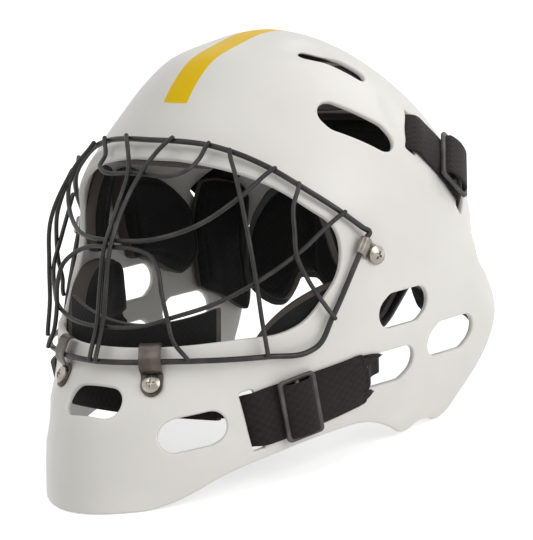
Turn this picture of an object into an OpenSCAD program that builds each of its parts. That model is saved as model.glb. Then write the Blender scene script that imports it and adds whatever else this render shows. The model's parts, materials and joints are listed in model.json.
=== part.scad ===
/* [Shell] */
// Width of the shell over the ears
shell_w = 216; // [200:1:232]
// Length of the shell from the chin's front to the back of the dome
shell_l = 273; // [250:1:290]
// Height of the shell from under the chin to the crown
shell_h = 266.5; // [245:0.5:285]
// Thickness of the moulded wall
wall = 3.6; // [3:0.1:5]

/* [Vents] */
// Length of the three vents on each side
vent_l = 43; // [34:1:48]
// Height of the three vents on each side
vent_h = 20; // [14:0.5:23]
// Corner radius of the side vents
vent_r = 9; // [4:0.5:9]
// Length of the vents in the chin
chin_vent_l = 40; // [30:1:44]
// Height of the vents in the chin
chin_vent_h = 19; // [14:0.5:20]
// Length of the slanting vents above the temples
upper_vent_l = 44; // [34:1:48]
// Height of the slanting vents above the temples
upper_vent_h = 20; // [12:0.5:22]
// Length of the crown slots
crown_slot_l = 42; // [30:1:48]
// Width of the crown slots
crown_slot_w = 11; // [7:0.5:14]

/* [Cage] */
// Diameter of the wire round the edge of the cage
ring_d = 3.2; // [2.6:0.1:3.6]
// Diameter of the bars
wire_d = 2.6; // [2:0.1:3]
// Distance between the two centre bars
pair_gap = 4.4; // [3.8:0.1:7]
// Clearance left for the weld where two wires cross
weld_gap = 0.15; // [0.1:0.05:0.3]

/* [Clips and screws] */
// Thickness of the clip metal
clip_t = 1.2; // [0.8:0.1:1.6]
// Width of the chin clips
chin_clip_w = 13; // [11:0.5:15]
// Width of the side clips
side_clip_w = 10; // [9:0.5:11.5]
// Clearance between a clip and the wire it holds
clip_gap = 0.3; // [0.25:0.05:0.5]
// Diameter of the screw shanks
screw_d = 5; // [4:0.1:6]
// Diameter of the screw heads
head_d = 10.4; // [9:0.1:11]
// Height of the screw heads
head_h = 3; // [2.2:0.1:3.6]
// Clearance round the shanks
screw_gap = 0.3; // [0.2:0.05:0.5]
// Diameter of the nuts inside the shell
nut_d = 12; // [10:0.5:14]
// Height of the nuts inside the shell
nut_h = 3.5; // [3:0.1:5]

/* [Straps] */
// Width of the webbing at the chin
chin_strap_w = 32; // [26:1:34]
// Width of the webbing at the back
back_strap_w = 34; // [26:1:36]
// Width of the webbing over the back of the crown
crown_strap_w = 34; // [26:1:38]
// Thickness of the webbing
strap_t = 1.6; // [1.2:0.1:2]
// Length of a slider along its strap
slider_l = 24; // [20:0.5:28]
// Thickness of the slider frames
slider_t = 2.4; // [2:0.1:3]
// How far a slider overhangs each side of its strap
slider_over = 2.4; // [2:0.1:3.5]

/* [Padding] */
// Thickness of the brow pad
brow_t = 12; // [8:0.5:15]
// Thickness of the crown pads
crown_t = 12; // [8:0.5:15]
// Thickness of the temple pads
temple_t = 11; // [8:0.5:13]
// Thickness of the ear pads
ear_t = 14; // [8:0.5:17]
// Thickness of the cheek pads
cheek_t = 18; // [12:0.5:20]
// Thickness of the pads inside the wings
wing_pad_t = 7; // [6:0.5:9]
// Thickness of the pad at the back of the head
nape_t = 12; // [8:0.5:14]
// Thickness of the chin cup
cup_t = 7.5; // [6:0.5:10]
// Thickness of the back plate
plate_t = 2.4; // [1.8:0.1:3.2]
// Clearance between webbing and what carries it
soft_gap = 0.3; // [0.2:0.05:0.5]
// Clearance between the pads and the inner face
pad_gap = 0.7; // [0.6:0.05:0.9]

/* [Hidden] */
$fn = 32;

// The sections below are drawn at this width, length and height
drawn_w = 216;
drawn_l = 273;
drawn_h = 266.5;
kx = shell_w / drawn_w;
ky = shell_l / drawn_l;
kz = shell_h / drawn_h;
function fit(p) = [kx * p[0], ky * p[1], kz * p[2]];

// Level sections of the outer face, crown first: height, front, back, widest
// depth, half width, then the roundness of the front and of the back half
rows = [
  [273.5, 37, 37, 37, 0, 2, 2],
  [271.5, 20, 54, 37, 16, 2, 2],
  [266.5, 3, 71, 37, 32, 2, 2],
  [257, -22, 89, 36, 52, 2, 2],
  [243, -38, 112, 38, 68, 2, 2],
  [226, -50, 131, 40, 83, 2, 2.05],
  [208, -62, 140, 40, 96, 2, 2.2],
  [190, -72, 144, 39, 104, 2.05, 2.5],
  [170, -80, 143, 36, 108, 2.1, 2.9],
  [150, -89, 143, 31, 108, 2.1, 3.3],
  [128, -96, 151, 27, 108, 2, 4.2],
  [105, -102, 158, 24, 106, 1.9, 5],
  [82, -110, 160, 19, 101, 1.85, 5],
  [60, -122, 158, 12, 94, 1.85, 4.8],
  [36, -127, 150, 6, 87, 1.9, 4.4],
  [12, -129, 136, 0, 82, 1.9, 4],
  [-12, -130, 120, -5, 78, 1.9, 3.6]];
last = len(rows) - 1;

// Smooth curve through four neighbours, from the second to the third
function smooth(a, b, c, d, t) =
  0.5 * (2 * b + (c - a) * t + (2 * a - 5 * b + 4 * c - d) * t * t + (3 * b - a - 3 * c + d) * t * t * t);
function beyond_crown() = let(a = rows[0], b = rows[1])
  [b[0], 2 * a[1] - b[1], 2 * a[2] - b[2], 2 * a[3] - b[3], -b[4], b[5], b[6]];
function row(i) = i < 0 ? beyond_crown() : i > last ? 2 * rows[last] - rows[last - 1] : rows[i];
function section(u) = let(i = min(floor(u), last - 1))
  smooth(row(i - 1), row(i), row(i + 1), row(i + 2), u - i);
function spow(v, p) = sign(v) * pow(abs(v), p);

// Point of the outer face: u counts the sections down, a turns from the front over the left side
function skin(u, a) = let(
    r = section(u), front = cos(a) >= 0,
    n = front ? r[5] : r[6], e = front ? r[3] - r[1] : r[2] - r[3])
  fit([r[4] * spow(sin(a), 2 / n), r[3] - e * spow(cos(a), 2 / n), r[0]]);
function unit(v) = v / norm(v);
function outward(u, a) = u < 0.05 ? [0, 0, 1] : let(
    lo = u - 0.02, hi = min(u + 0.02, last))
  unit(cross(skin(hi, a) - skin(lo, a), skin(u, a + 0.7) - skin(u, a - 0.7)));
function at(u, a, lift) = skin(u, a) + lift * outward(u, a);

// Place on the outer face of a point given where the sections are drawn
function u_of(z, lo = 0, hi = last, k = 13) = k == 0 ? (lo + hi) / 2
  : let(m = (lo + hi) / 2) section(m)[0] > z ? u_of(z, m, hi, k - 1) : u_of(z, lo, m, k - 1);
function place(p) = let(
    u = u_of(p[2]), r = section(u), front = p[1] <= r[3],
    n = front ? r[5] : r[6], e = front ? r[3] - r[1] : r[2] - r[3],
    c = spow((r[3] - p[1]) / e, n / 2), s = spow(p[0] / max(r[4], 0.01), n / 2))
  [u, atan2(s, c)];
function on(p, lift = 0) = let(q = place(p)) at(q[0], q[1], lift);
function normal_at(p) = let(q = place(p)) outward(q[0], q[1]);
function mid(a, b, t = 0.5) = a + (b - a) * t;
function flip(p) = [-p[0], p[1], p[2]];
function flat(list) = [for (l = list) each l];

// Closed solid between two grids of points, the first one outermost
module slab(top, under, loop = false) {
  r = len(top);
  c = len(top[0]);
  m = r * c;
  cols = loop ? c - 1 : c - 2;
  function k(i, j) = i * c + j % c;
  skin_faces = [for (i = [0:r - 2], j = [0:cols])
    each [[k(i, j), k(i, j + 1), k(i + 1, j + 1)], [k(i, j), k(i + 1, j + 1), k(i + 1, j)]]];
  inner_faces = [for (f = skin_faces) [f[2] + m, f[1] + m, f[0] + m]];
  ends = [for (j = [0:cols]) each [
    [k(0, j), k(0, j) + m, k(0, j + 1) + m], [k(0, j), k(0, j + 1) + m, k(0, j + 1)],
    [k(r - 1, j), k(r - 1, j + 1) + m, k(r - 1, j) + m],
    [k(r - 1, j), k(r - 1, j + 1), k(r - 1, j + 1) + m]]];
  sides = loop ? [] : [for (i = [0:r - 2]) each [
    [k(i, 0), k(i + 1, 0) + m, k(i, 0) + m], [k(i, 0), k(i + 1, 0), k(i + 1, 0) + m],
    [k(i, c - 1), k(i, c - 1) + m, k(i + 1, c - 1) + m],
    [k(i, c - 1), k(i + 1, c - 1) + m, k(i + 1, c - 1)]]];
  polyhedron(concat(flat(top), flat(under)), concat(skin_faces, inner_faces, ends, sides));
}

// Helmets stand on the chin's front edge and the two rear tips: lean and drop to that plane
chin_rest = fit([0, -128, 7]);
tip_rest = fit([0, 85, 45]);
lean = atan2(tip_rest[2] - chin_rest[2], tip_rest[1] - chin_rest[1]);
foot_cut = 0.5;
drop = -chin_rest[1] * sin(lean) + chin_rest[2] * cos(lean) + foot_cut;
// The origin is on the floor under the middle of the whole length
middle_y = 24.7 * ky;
module stand() {
  translate([0, -middle_y, -drop]) rotate([-lean, 0, 0]) children();
}

// Frame on the outer face: x runs along a strap or towards a wire, z points outwards
module frame_at(origin, along, out) {
  z = unit(out - (out * along) * along / (along * along));
  x = unit(along);
  y = cross(z, x);
  multmatrix([[x[0], y[0], z[0], origin[0]], [x[1], y[1], z[1], origin[1]],
    [x[2], y[2], z[2], origin[2]]]) children();
}
module both() {
  children();
  mirror([1, 0, 0]) children();
}
// Smooth run through hand-chosen points, the nearer neighbour setting more of each heading
function heading(p, i) = let(
    n = len(p), a = p[i] - p[max(i - 1, 0)], b = p[min(i + 1, n - 1)] - p[i], la = norm(a), lb = norm(b))
  la == 0 ? b / lb : lb == 0 ? a / la : unit(a * lb / la + b * la / lb);
function hermite(a, b, ma, mb, t) =
  (2 * t ^ 3 - 3 * t ^ 2 + 1) * a + (t ^ 3 - 2 * t ^ 2 + t) * ma
  + (3 * t ^ 2 - 2 * t ^ 3) * b + (t ^ 3 - t ^ 2) * mb;
function run(p, k) = let(n = len(p), h = [for (i = [0:n - 1]) heading(p, i)]) concat(
  [for (i = [0:n - 2], j = [0:k - 1]) let(l = norm(p[i + 1] - p[i]))
    hermite(p[i], p[i + 1], l * h[i], l * h[i + 1], j / k)], [p[n - 1]]);

// Shell
skin_turns = 44;
// Edge of the face opening seen from the side, then the lower edge from chin to nape: depth, height
face_edge = [[-64, 202.5], [-56, 198], [-44, 189], [-32, 177], [-21, 166.5], [-18, 156], [-19, 143],
  [-29, 126], [-41, 112], [-52, 107], [-67, 105], [-101, 99.5], [-106, 99]];
lower_edge = [[-131, 6.5], [-110, 11], [-99, 16], [-77, 29], [-46, 40], [-8, 49], [10, 51], [29, 49],
  [42, 45], [54, 41], [59, 42], [67, 46], [76, 47], [85, 45], [91, 47], [106, 62], [119, 79], [127, 94],
  [130.5, 108], [129, 118], [120, 131], [112, 140], [118, 147], [131, 151], [150, 153]];
// Centres of the side vents seen from the side
side_vents = [[31, 117.3], [79.3, 97], [25, 83]];
side_vent_tilt = 5.5;
vent_shear = 3;
chin_vent_at = [0, -112, 70];
chin_side_vent_at = [55, -92, 54];
chin_side_vent_run = [27, 33, 8];
upper_vent_at = [83, 17, 221];
upper_vent_run = [16, 27, -14];
crown_slot_at = [48, 33, 256];
crown_slot_run = [28, 32, -14];
// Slots for the webbing: the slot's middle and the way the strap runs from it
chin_slot_at = [74, -63, 59];
chin_slot_end = [100, 5, 79];
back_slot_at = [87, 60, 216];
back_slot_end = [96, 98, 181];
strap_slot_front = [0, 86, 257];
strap_slot_back = [0, 120, 236];
slot_l = 8;
slot_extra = 2.5;
cut_depth = 40;

module side_cut(outline) {
  rotate([90, 0, 90]) linear_extrude(2 * shell_w, center = true)
    polygon([for (p = outline) [ky * p[0], kz * p[1]]]);
}
module window2d(l, h, r, shear) {
  c = min(r, h / 2 - 0.5);
  hull() for (x = [-1, 1], y = [-1, 1])
    translate([x * (l / 2 - c - shear / 2) + y * shear / 2, y * (h / 2 - c)]) circle(c, $fn = 24);
}
module window(at_point, run_dir, l, h, r, shear) {
  frame_at(on(at_point), run_dir, normal_at(at_point))
    linear_extrude(cut_depth, center = true) window2d(l, h, r, shear);
}
module slot(at_point, run_dir, w) {
  window(at_point, run_dir, slot_l, w + slot_extra, 1.5, 0);
}
module dome() {
  ring_us = [for (k = [1:2 * last]) if (k < 18 || k % 2 == 0) k / 2];
  n = len(ring_us);
  m = n * skin_turns + 1;
  function k(i, j) = 1 + i * skin_turns + j % skin_turns;
  function face(lift) = concat([at(0, 0, lift)],
    [for (u = ring_us, j = [0:skin_turns - 1]) at(u, j * 360 / skin_turns, lift)]);
  outer = concat([for (j = [0:skin_turns - 1]) [0, k(0, j + 1), k(0, j)]],
    [for (i = [0:n - 2], j = [0:skin_turns - 1])
      each [[k(i, j), k(i, j + 1), k(i + 1, j + 1)], [k(i, j), k(i + 1, j + 1), k(i + 1, j)]]]);
  inner = [for (f = outer) [f[2] + m, f[1] + m, f[0] + m]];
  hem = [for (j = [0:skin_turns - 1]) each [
    [k(n - 1, j), k(n - 1, j + 1) + m, k(n - 1, j) + m],
    [k(n - 1, j), k(n - 1, j + 1), k(n - 1, j + 1) + m]]];
  polyhedron(concat(face(0), face(-wall)), concat(outer, inner, hem));
}
module shell() {
  color("white") difference() {
    stand() difference() {
      dome();
      side_cut(concat(run(face_edge, 3), [[-200, 99], [-200, 202.5]]));
      side_cut(concat([[-200, -60], [-200, 6.5]], run(lower_edge, 3), [[200, 153], [200, -60]]));
      for (p = side_vents) translate([0, ky * p[0], kz * p[1]]) rotate([side_vent_tilt, 0, 0])
        rotate([90, 0, 90]) linear_extrude(2 * shell_w, center = true)
          window2d(vent_l, vent_h, vent_r, vent_shear);
      window(chin_vent_at, [1, 0, 0], chin_vent_l, chin_vent_h, vent_r, 0);
      both() {
        window(chin_side_vent_at, chin_side_vent_run, chin_vent_l, chin_vent_h, vent_r, vent_shear);
        window(upper_vent_at, upper_vent_run, upper_vent_l, upper_vent_h, vent_r, -vent_shear);
        window(crown_slot_at, crown_slot_run, crown_slot_l, crown_slot_w, vent_r, 0);
        slot(chin_slot_at, chin_slot_end - chin_slot_at, chin_strap_w);
        slot(back_slot_at, back_slot_end - back_slot_at, back_strap_w);
        slot(back_slot_end, back_slot_end - back_slot_at, back_strap_w);
        screw_frame(side_grip) screw_hole();
        screw_frame(chin_grip) screw_hole();
      }
      slot(strap_slot_front, strap_slot_back - strap_slot_front, crown_strap_w);
      slot(strap_slot_back, strap_slot_back - strap_slot_front, crown_strap_w);
    }
    translate([0, 0, -50]) cube([4 * shell_w, 4 * shell_l, 100], center = true);
  }
}

// Cage: each wire is a list of places on the cage with its layer there
// (-1 inner, 1 outer, 2 over the edge wire), for the left half
cage_core = fit([0, 20, 150]);
cage_tilt = 0.35;
layer = (wire_d + weld_gap) / 2;
over_edge = (ring_d + wire_d) / 2 + weld_gap;
wire_sides = 8;
function cage_out(p) = let(v = p - cage_core) unit([v[0], v[1], -cage_tilt * v[1]]);
function lift_of(tag) = tag == 2 ? over_edge : tag * layer;
function wire_at(q) = let(p = fit([q[0], q[1], q[2]])) p + lift_of(q[3]) * cage_out(p);
function wire_run(w, k = 2) = run([for (q = w) wire_at(q)], k);
function reverse(p) = [for (i = [len(p) - 1:-1:0]) p[i]];
cb = pair_gap / 2 / kx;
edge_half = [[0, -66, 213], [16, -65, 213], [38, -59, 211], [50, -55, 208], [72, -44, 198], [84, -37, 190],
  [101, -18.5, 174], [107.5, -7.5, 165], [109.4, -4.4, 162.5], [108.9, -6.4, 159.5], [107.5, -10.5, 151],
  [101, -27, 115.5], [97, -35, 100], [95, -39, 97.5], [82, -60.5, 95.3], [52, -92, 93.3], [40, -99.6, 92.8],
  [25.5, -107, 92], [cb, -112, 91.3], [0, -112.3, 91.3]];
centre_bar = [[18.5, -62.5, 215.5, 2], [16, -65, 213, 2], [5, -78, 194.8, 1], [cb, -90, 176, 1],
  [cb, -99, 158.5, 1], [cb, -100.6, 154.8, 1], [cb, -105, 130, 1], [cb, -107.5, 110.5, 1],
  [cb, -112, 91.3, 2], [cb, -112.5, 88.5, 2]];
brow_wire = [[39.3, -57, 213.5, 2], [38, -59, 211, 2], [36, -66, 204, -1], [33, -74, 197.5, -1],
  [28, -77, 195.2, -1], [5, -78, 194.8, -1], [0, -78, 194.8, -1]];
upper_wire = [[74, -41.8, 199.8, 2], [72, -44, 198, 2], [66, -65, 184, -1], [48, -82, 168, -1],
  [26, -95, 160, -1], [cb, -99, 158.5, -1], [0, -99, 158.5, -1]];
cheek_wire = [[0, -100.6, 154.8, -1], [cb, -100.6, 154.8, -1], [18, -98.5, 154, -1], [28, -98, 151, -1],
  [36, -100, 143, 0], [39, -100, 131, 1], [41.5, -98, 117, 1], [45, -96, 103, 1.5], [52, -92, 93.3, 2],
  [53.3, -91, 91, 2]];
lower_wire = [[102.4, -16.4, 175.6, 2], [101, -18.5, 174, 2], [90.5, -46, 151.3, -1],
  [78, -65.5, 137, -1], [62, -81.5, 125.5, -1], [41.5, -98, 117, -1], [30, -102, 113, -1],
  [14, -106, 110.8, -1], [cb, -107.5, 110.5, -1], [0, -107.5, 110.5, -1]];
temple_wire = [[83, -35.8, 192.4, 2], [84, -37, 190, 2], [86.5, -44, 178, 1], [89.5, -46.5, 164, 1],
  [90.5, -46, 151.3, 1], [94, -41, 138, 1], [98, -33, 125, 1], [101, -27, 115.5, 2],
  [101.8, -25, 113.2, 2]];
side_wire = [[49, -53.8, 210.4, 2], [50, -55, 208, 2], [60, -62, 195, 1], [66, -65, 184, 1],
  [74, -68, 164, 1], [78, -65.5, 137, 1], [80, -63, 115, 1], [82, -60.5, 95.3, 2], [82.3, -60.3, 92.7, 2]];

module tube(p, d, loop = false) {
  n = len(p);
  m = wire_sides;
  rings = [for (i = [0:n - 1]) let(
      t = unit(loop ? p[(i + 1) % n] - p[(i + n - 1) % n] : p[min(i + 1, n - 1)] - p[max(i - 1, 0)]),
      o = cage_out(p[i]), a = unit(o - (o * t) * t), b = cross(t, a))
    for (j = [0:m - 1]) p[i] + d / 2 * (cos(j * 360 / m) * a + sin(j * 360 / m) * b)];
  function k(i, j) = (i % n) * m + j % m;
  wall_faces = [for (i = [0:n - (loop ? 1 : 2)], j = [0:m - 1])
    each [[k(i, j), k(i + 1, j), k(i + 1, j + 1)], [k(i, j), k(i + 1, j + 1), k(i, j + 1)]]];
  ends = loop ? [] : [for (j = [1:m - 2]) each [[k(0, 0), k(0, j), k(0, j + 1)],
    [k(n - 1, 0), k(n - 1, j + 1), k(n - 1, j)]]];
  polyhedron(rings, concat(wall_faces, ends));
}
module wire(w, mirrored = false) {
  color([0.22, 0.21, 0.2]) stand() tube(wire_run(mirrored ? [for (q = w) far(q)] : w), wire_d);
}
module cage_ring() {
  half = run([for (q = edge_half) fit(q)], 2);
  all_round = [for (i = [0:2 * len(half) - 3]) i < len(half) ? half[i] : flip(half[2 * len(half) - 2 - i])];
  color([0.22, 0.21, 0.2]) stand() tube(all_round, ring_d, loop = true);
}
module centre_bars() {
  wire(centre_bar);
  wire(centre_bar, mirrored = true);
}
// A wire that runs on over the middle, from its left end to its right end
function far(q) = [-q[0], q[1], q[2], q[3]];
function whole(w) = concat([for (i = [0:len(w) - 2]) w[i]], [for (i = [len(w) - 1:-1:0]) far(w[i])]);
module brow_bar() { wire(whole(brow_wire)); }
module upper_bar() { wire(whole(upper_wire)); }
module cheek_bar() { wire(whole(reverse(cheek_wire))); }
module lower_bar() { wire(whole(lower_wire)); }
module side_bar_left() { wire(side_wire); }
module side_bar_right() { wire(side_wire, mirrored = true); }
module temple_bar_left() { wire(temple_wire); }
module temple_bar_right() { wire(temple_wire, mirrored = true); }

// Clips: the screw's place on the shell, and two places on the edge wire that the clip lies between
side_grip = [[105.8, 4.3, 149.4], [108.9, -6.4, 159.5], [107.5, -10.5, 151]];
chin_grip = [[33.5, -103.5, 79.5], [40, -99.6, 92.8], [25.5, -107, 92]];
seat_gap = 0.5;
clip_r = 7;
hook_in = ring_d / 2 + clip_gap;
hook_out = hook_in + clip_t;
function grip_t(g) = unit(fit(g[2]) - fit(g[1]));
function grip_z(g) = let(t = grip_t(g), n = normal_at(g[0])) unit(n - (n * t) * t);
function grip_x(g) = cross(grip_t(g), grip_z(g));
function grip_o(g) = let(a = fit(g[1]), t = grip_t(g)) a + ((on(g[0]) - a) * t) * t;
function screw_x(g) = (on(g[0]) - grip_o(g)) * grip_x(g);
function skin_z(g) = (on(g[0]) - grip_o(g)) * grip_z(g);
module grip_frame(g) {
  x = grip_x(g);
  y = grip_t(g);
  z = grip_z(g);
  o = grip_o(g);
  multmatrix([[x[0], y[0], z[0], o[0]], [x[1], y[1], z[1], o[1]], [x[2], y[2], z[2], o[2]]]) children();
}
module screw_frame(g) {
  grip_frame(g) translate([screw_x(g), 0, skin_z(g)]) children();
}
module screw_hole() {
  cylinder(h = cut_depth, d = screw_d + 2 * screw_gap, center = true);
}
// Outline of metal bent along a line of points, with mitred bends
function bend_side(p, i, off) = let(
    last_i = len(p) - 1, a = unit(p[max(i, 1)] - p[max(i, 1) - 1]),
    b = unit(p[min(i, last_i - 1) + 1] - p[min(i, last_i - 1)]), m = unit([-a[1] - b[1], a[0] + b[0]]))
  p[i] + m * off / (m[1] * a[0] - m[0] * a[1]);
module bent(p) {
  polygon(concat([for (i = [0:len(p) - 1]) bend_side(p, i, clip_t / 2)],
    [for (i = [len(p) - 1:-1:0]) bend_side(p, i, -clip_t / 2)]));
}
module clip(g, w, lip) {
  sx = screw_x(g);
  seat = skin_z(g) + seat_gap + clip_t / 2;
  crest = lip > 0 ? hook_in + clip_t / 2 : -hook_in - clip_t / 2;
  grip_frame(g) difference() {
    intersection() {
      rotate([90, 0, 0]) linear_extrude(w, center = true) {
        flat_end = [[sx - 2 * clip_r, seat], [sx + clip_r - 1, seat]];
        if (lip > 0) bent(concat(flat_end, [[-hook_out, crest], [lip, crest], [lip + 1, crest - 3]]));
        else difference() {
          union() {
            bent(concat(flat_end, [[0, crest + clip_t / 4]]));
            circle(hook_out);
          }
          circle(hook_in);
        }
      }
      union() {
        translate([sx, 0, -cut_depth / 2]) cylinder(h = cut_depth, r = clip_r);
        translate([sx, -w / 2, -cut_depth / 2]) cube([4 * clip_r + hook_out, w, cut_depth]);
      }
    }
    translate([sx, 0, 0]) cylinder(h = cut_depth, d = screw_d + 2 * screw_gap, center = true);
  }
}
chin_lip = 9.5;
module side_clip_left() { color([0.6, 0.58, 0.55]) stand() clip(side_grip, side_clip_w, 0); }
module side_clip_right() {
  color([0.6, 0.58, 0.55]) stand() mirror([1, 0, 0]) clip(side_grip, side_clip_w, 0);
}
module chin_clip_left() { color([0.45, 0.42, 0.4]) stand() clip(chin_grip, chin_clip_w, chin_lip); }
module chin_clip_right() {
  color([0.45, 0.42, 0.4]) stand() mirror([1, 0, 0]) clip(chin_grip, chin_clip_w, chin_lip);
}
grip_len = wall + 1.5 + nut_h;
recess_w = 1.2;
recess_l = 5;
recess_deep = 1.6;
module screw() {
  head_z = seat_gap + clip_t + 0.05;
  difference() {
    union() {
      translate([0, 0, -grip_len]) cylinder(h = grip_len + head_z + 0.5, d = screw_d);
      translate([0, 0, head_z]) intersection() {
        cylinder(h = head_h, d = head_d);
        translate([0, 0, head_h - head_d * 0.8]) sphere(head_d * 0.8, $fn = 24);
      }
    }
    for (a = [0, 90]) rotate(a) translate([-recess_l / 2, -recess_w / 2, head_z + head_h - recess_deep])
      cube([recess_l, recess_w, 2 * recess_deep]);
  }
}
module nut() {
  translate([0, 0, -grip_len + 0.3]) difference() {
    cylinder(h = nut_h, d = nut_d);
    translate([0, 0, -1]) cylinder(h = nut_h + 2, d = screw_d + 0.2);
  }
}
module clip_screws() {
  color([0.75, 0.72, 0.68]) stand() both() {
    screw_frame(side_grip) screw();
    screw_frame(chin_grip) screw();
  }
}
module clip_nuts() {
  color([0.5, 0.5, 0.5]) stand() both() {
    screw_frame(side_grip) nut();
    screw_frame(chin_grip) nut();
  }
}

// Webbing: each station is a place, a lift off the outer face and a width
inside = -(wall + strap_t + 0.5);
module band(stations, columns = 4) {
  n = len(stations);
  function side(i) = let(
      a = stations[max(i - 1, 0)][0], b = stations[min(i + 1, n - 1)][0], o = normal_at(stations[i][0]))
    unit(cross(o, fit(b) - fit(a)));
  function edge(i, lift) = let(s = stations[i], v = side(i)) [for (j = [0:columns])
    on(s[0] + [v[0] / kx, v[1] / ky, v[2] / kz] * s[2] * (j / columns - 0.5), s[1] + lift)];
  slab([for (i = [0:n - 1]) edge(i, strap_t)], [for (i = [0:n - 1]) edge(i, 0)]);
}
function along(a, b, mm) = a + unit(b - a) * mm;
chin_run = norm(chin_slot_end - chin_slot_at);
back_run = norm(back_slot_end - back_slot_at);
crown_run = norm(strap_slot_back - strap_slot_front);
tongue_w = 12;
function strap_stations(a, b, list) = [for (s = list) [along(a, b, s[0]), s[1], s[2]]];
chin_stations = strap_stations(chin_slot_at, chin_slot_end, concat(
  [[-13, inside, chin_strap_w * 0.9], [-4, inside, chin_strap_w * 0.9], [3.5, soft_gap, chin_strap_w * 0.9],
    [9, soft_gap, chin_strap_w]],
  [for (s = [16:8:chin_run - 8]) [s, soft_gap, chin_strap_w]],
  [[chin_run - 5, soft_gap, chin_strap_w], [chin_run - 2, soft_gap, tongue_w + 6],
    [chin_run + 1, soft_gap, tongue_w], [chin_run + 9, inside, tongue_w],
    [chin_run + 17, inside - 0.3, tongue_w]]));
back_stations = strap_stations(back_slot_at, back_slot_end, concat(
  [[-14, inside, back_strap_w], [-4, inside, back_strap_w], [3.5, soft_gap, back_strap_w]],
  [for (s = [10:7:back_run - 8]) [s, soft_gap, back_strap_w]],
  [[back_run - 3.5, soft_gap, back_strap_w], [back_run + 4, inside, back_strap_w],
    [back_run + 12, inside, back_strap_w]]));
crown_stations = strap_stations(strap_slot_front, strap_slot_back, concat(
  [[-12, inside, crown_strap_w], [-2, inside, crown_strap_w], [3.5, soft_gap, crown_strap_w]],
  [for (s = [10:6:crown_run - 8]) [s, soft_gap, crown_strap_w]],
  [[crown_run - 2, soft_gap, crown_strap_w], [crown_run + 4, inside, crown_strap_w],
    [crown_run + 12, inside, crown_strap_w]]));
module webbing() { color([0.13, 0.12, 0.12]) stand() children(); }
module chin_strap_left() { webbing() band(chin_stations); }
module chin_strap_right() { webbing() mirror([1, 0, 0]) band(chin_stations); }
module back_strap_left() { webbing() band(back_stations); }
module back_strap_right() { webbing() mirror([1, 0, 0]) band(back_stations); }
module crown_strap() { webbing() band(crown_stations); }

// Sliders: a frame of two end bars, two rails and a middle bar, lying over its strap
chin_slider_at = along(chin_slot_at, chin_slot_end, 28);
back_slider_at = along(back_slot_at, back_slot_end, 33);
slider_gap = 0.8;
slider_lift = soft_gap + strap_t + slider_gap;
bar_w = 2.6;
module slider_frame(p, a, b) {
  frame_at(on(p, slider_lift), fit(b) - fit(a), normal_at(p)) children();
}
module slider(w) {
  out_w = w + 2 * slider_over;
  inner_l = slider_l - 2 * bar_w;
  difference() {
    translate([-slider_l / 2, -out_w / 2, 0]) cube([slider_l, out_w, slider_t]);
    for (x = [-1, 1]) translate([x * (inner_l + bar_w) / 4 - (inner_l - bar_w) / 4, -w / 2 - 0.2, -1])
      cube([(inner_l - bar_w) / 2, w + 0.4, slider_t + 2]);
  }
}
// The webbing's fold over the middle bar, a crowned ribbon that moves with the slider
fold_clear = 0.3;
fold_rise = 2.2;
fold_steps = 10;
module fold(w) {
  span = slider_l - 2 * bar_w - 2 * fold_clear;
  function rise(i) = slider_t + fold_clear + fold_rise * sin(180 * i / fold_steps);
  function edge(lift) = [for (i = [0:fold_steps]) [for (j = [0, 1])
    [span * (i / fold_steps - 0.5), (j - 0.5) * w, rise(i) + lift]]];
  slab(edge(strap_t), edge(0));
}
module over_chin_strap() { slider_frame(chin_slider_at, chin_slot_at, chin_slot_end) children(); }
module over_back_strap() { slider_frame(back_slider_at, back_slot_at, back_slot_end) children(); }
module moulded() { color([0.3, 0.28, 0.27]) stand() children(); }
module chin_slider_left() { moulded() over_chin_strap() slider(chin_strap_w); }
module chin_slider_right() { moulded() mirror([1, 0, 0]) over_chin_strap() slider(chin_strap_w); }
module back_slider_left() { moulded() over_back_strap() slider(back_strap_w); }
module back_slider_right() { moulded() mirror([1, 0, 0]) over_back_strap() slider(back_strap_w); }
module chin_fold_left() { webbing() over_chin_strap() fold(chin_strap_w); }
module chin_fold_right() { webbing() mirror([1, 0, 0]) over_chin_strap() fold(chin_strap_w); }
module back_fold_left() { webbing() over_back_strap() fold(back_strap_w); }
module back_fold_right() { webbing() mirror([1, 0, 0]) over_back_strap() fold(back_strap_w); }

// Padding: each pad lies on the inner face between four corners and the four places half-way
// along its sides, and its other face is crowned
pad_rows = 6;
pad_cols = 8;
pad_draw = 0.05;
wing_pad_lift = 3;
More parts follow.
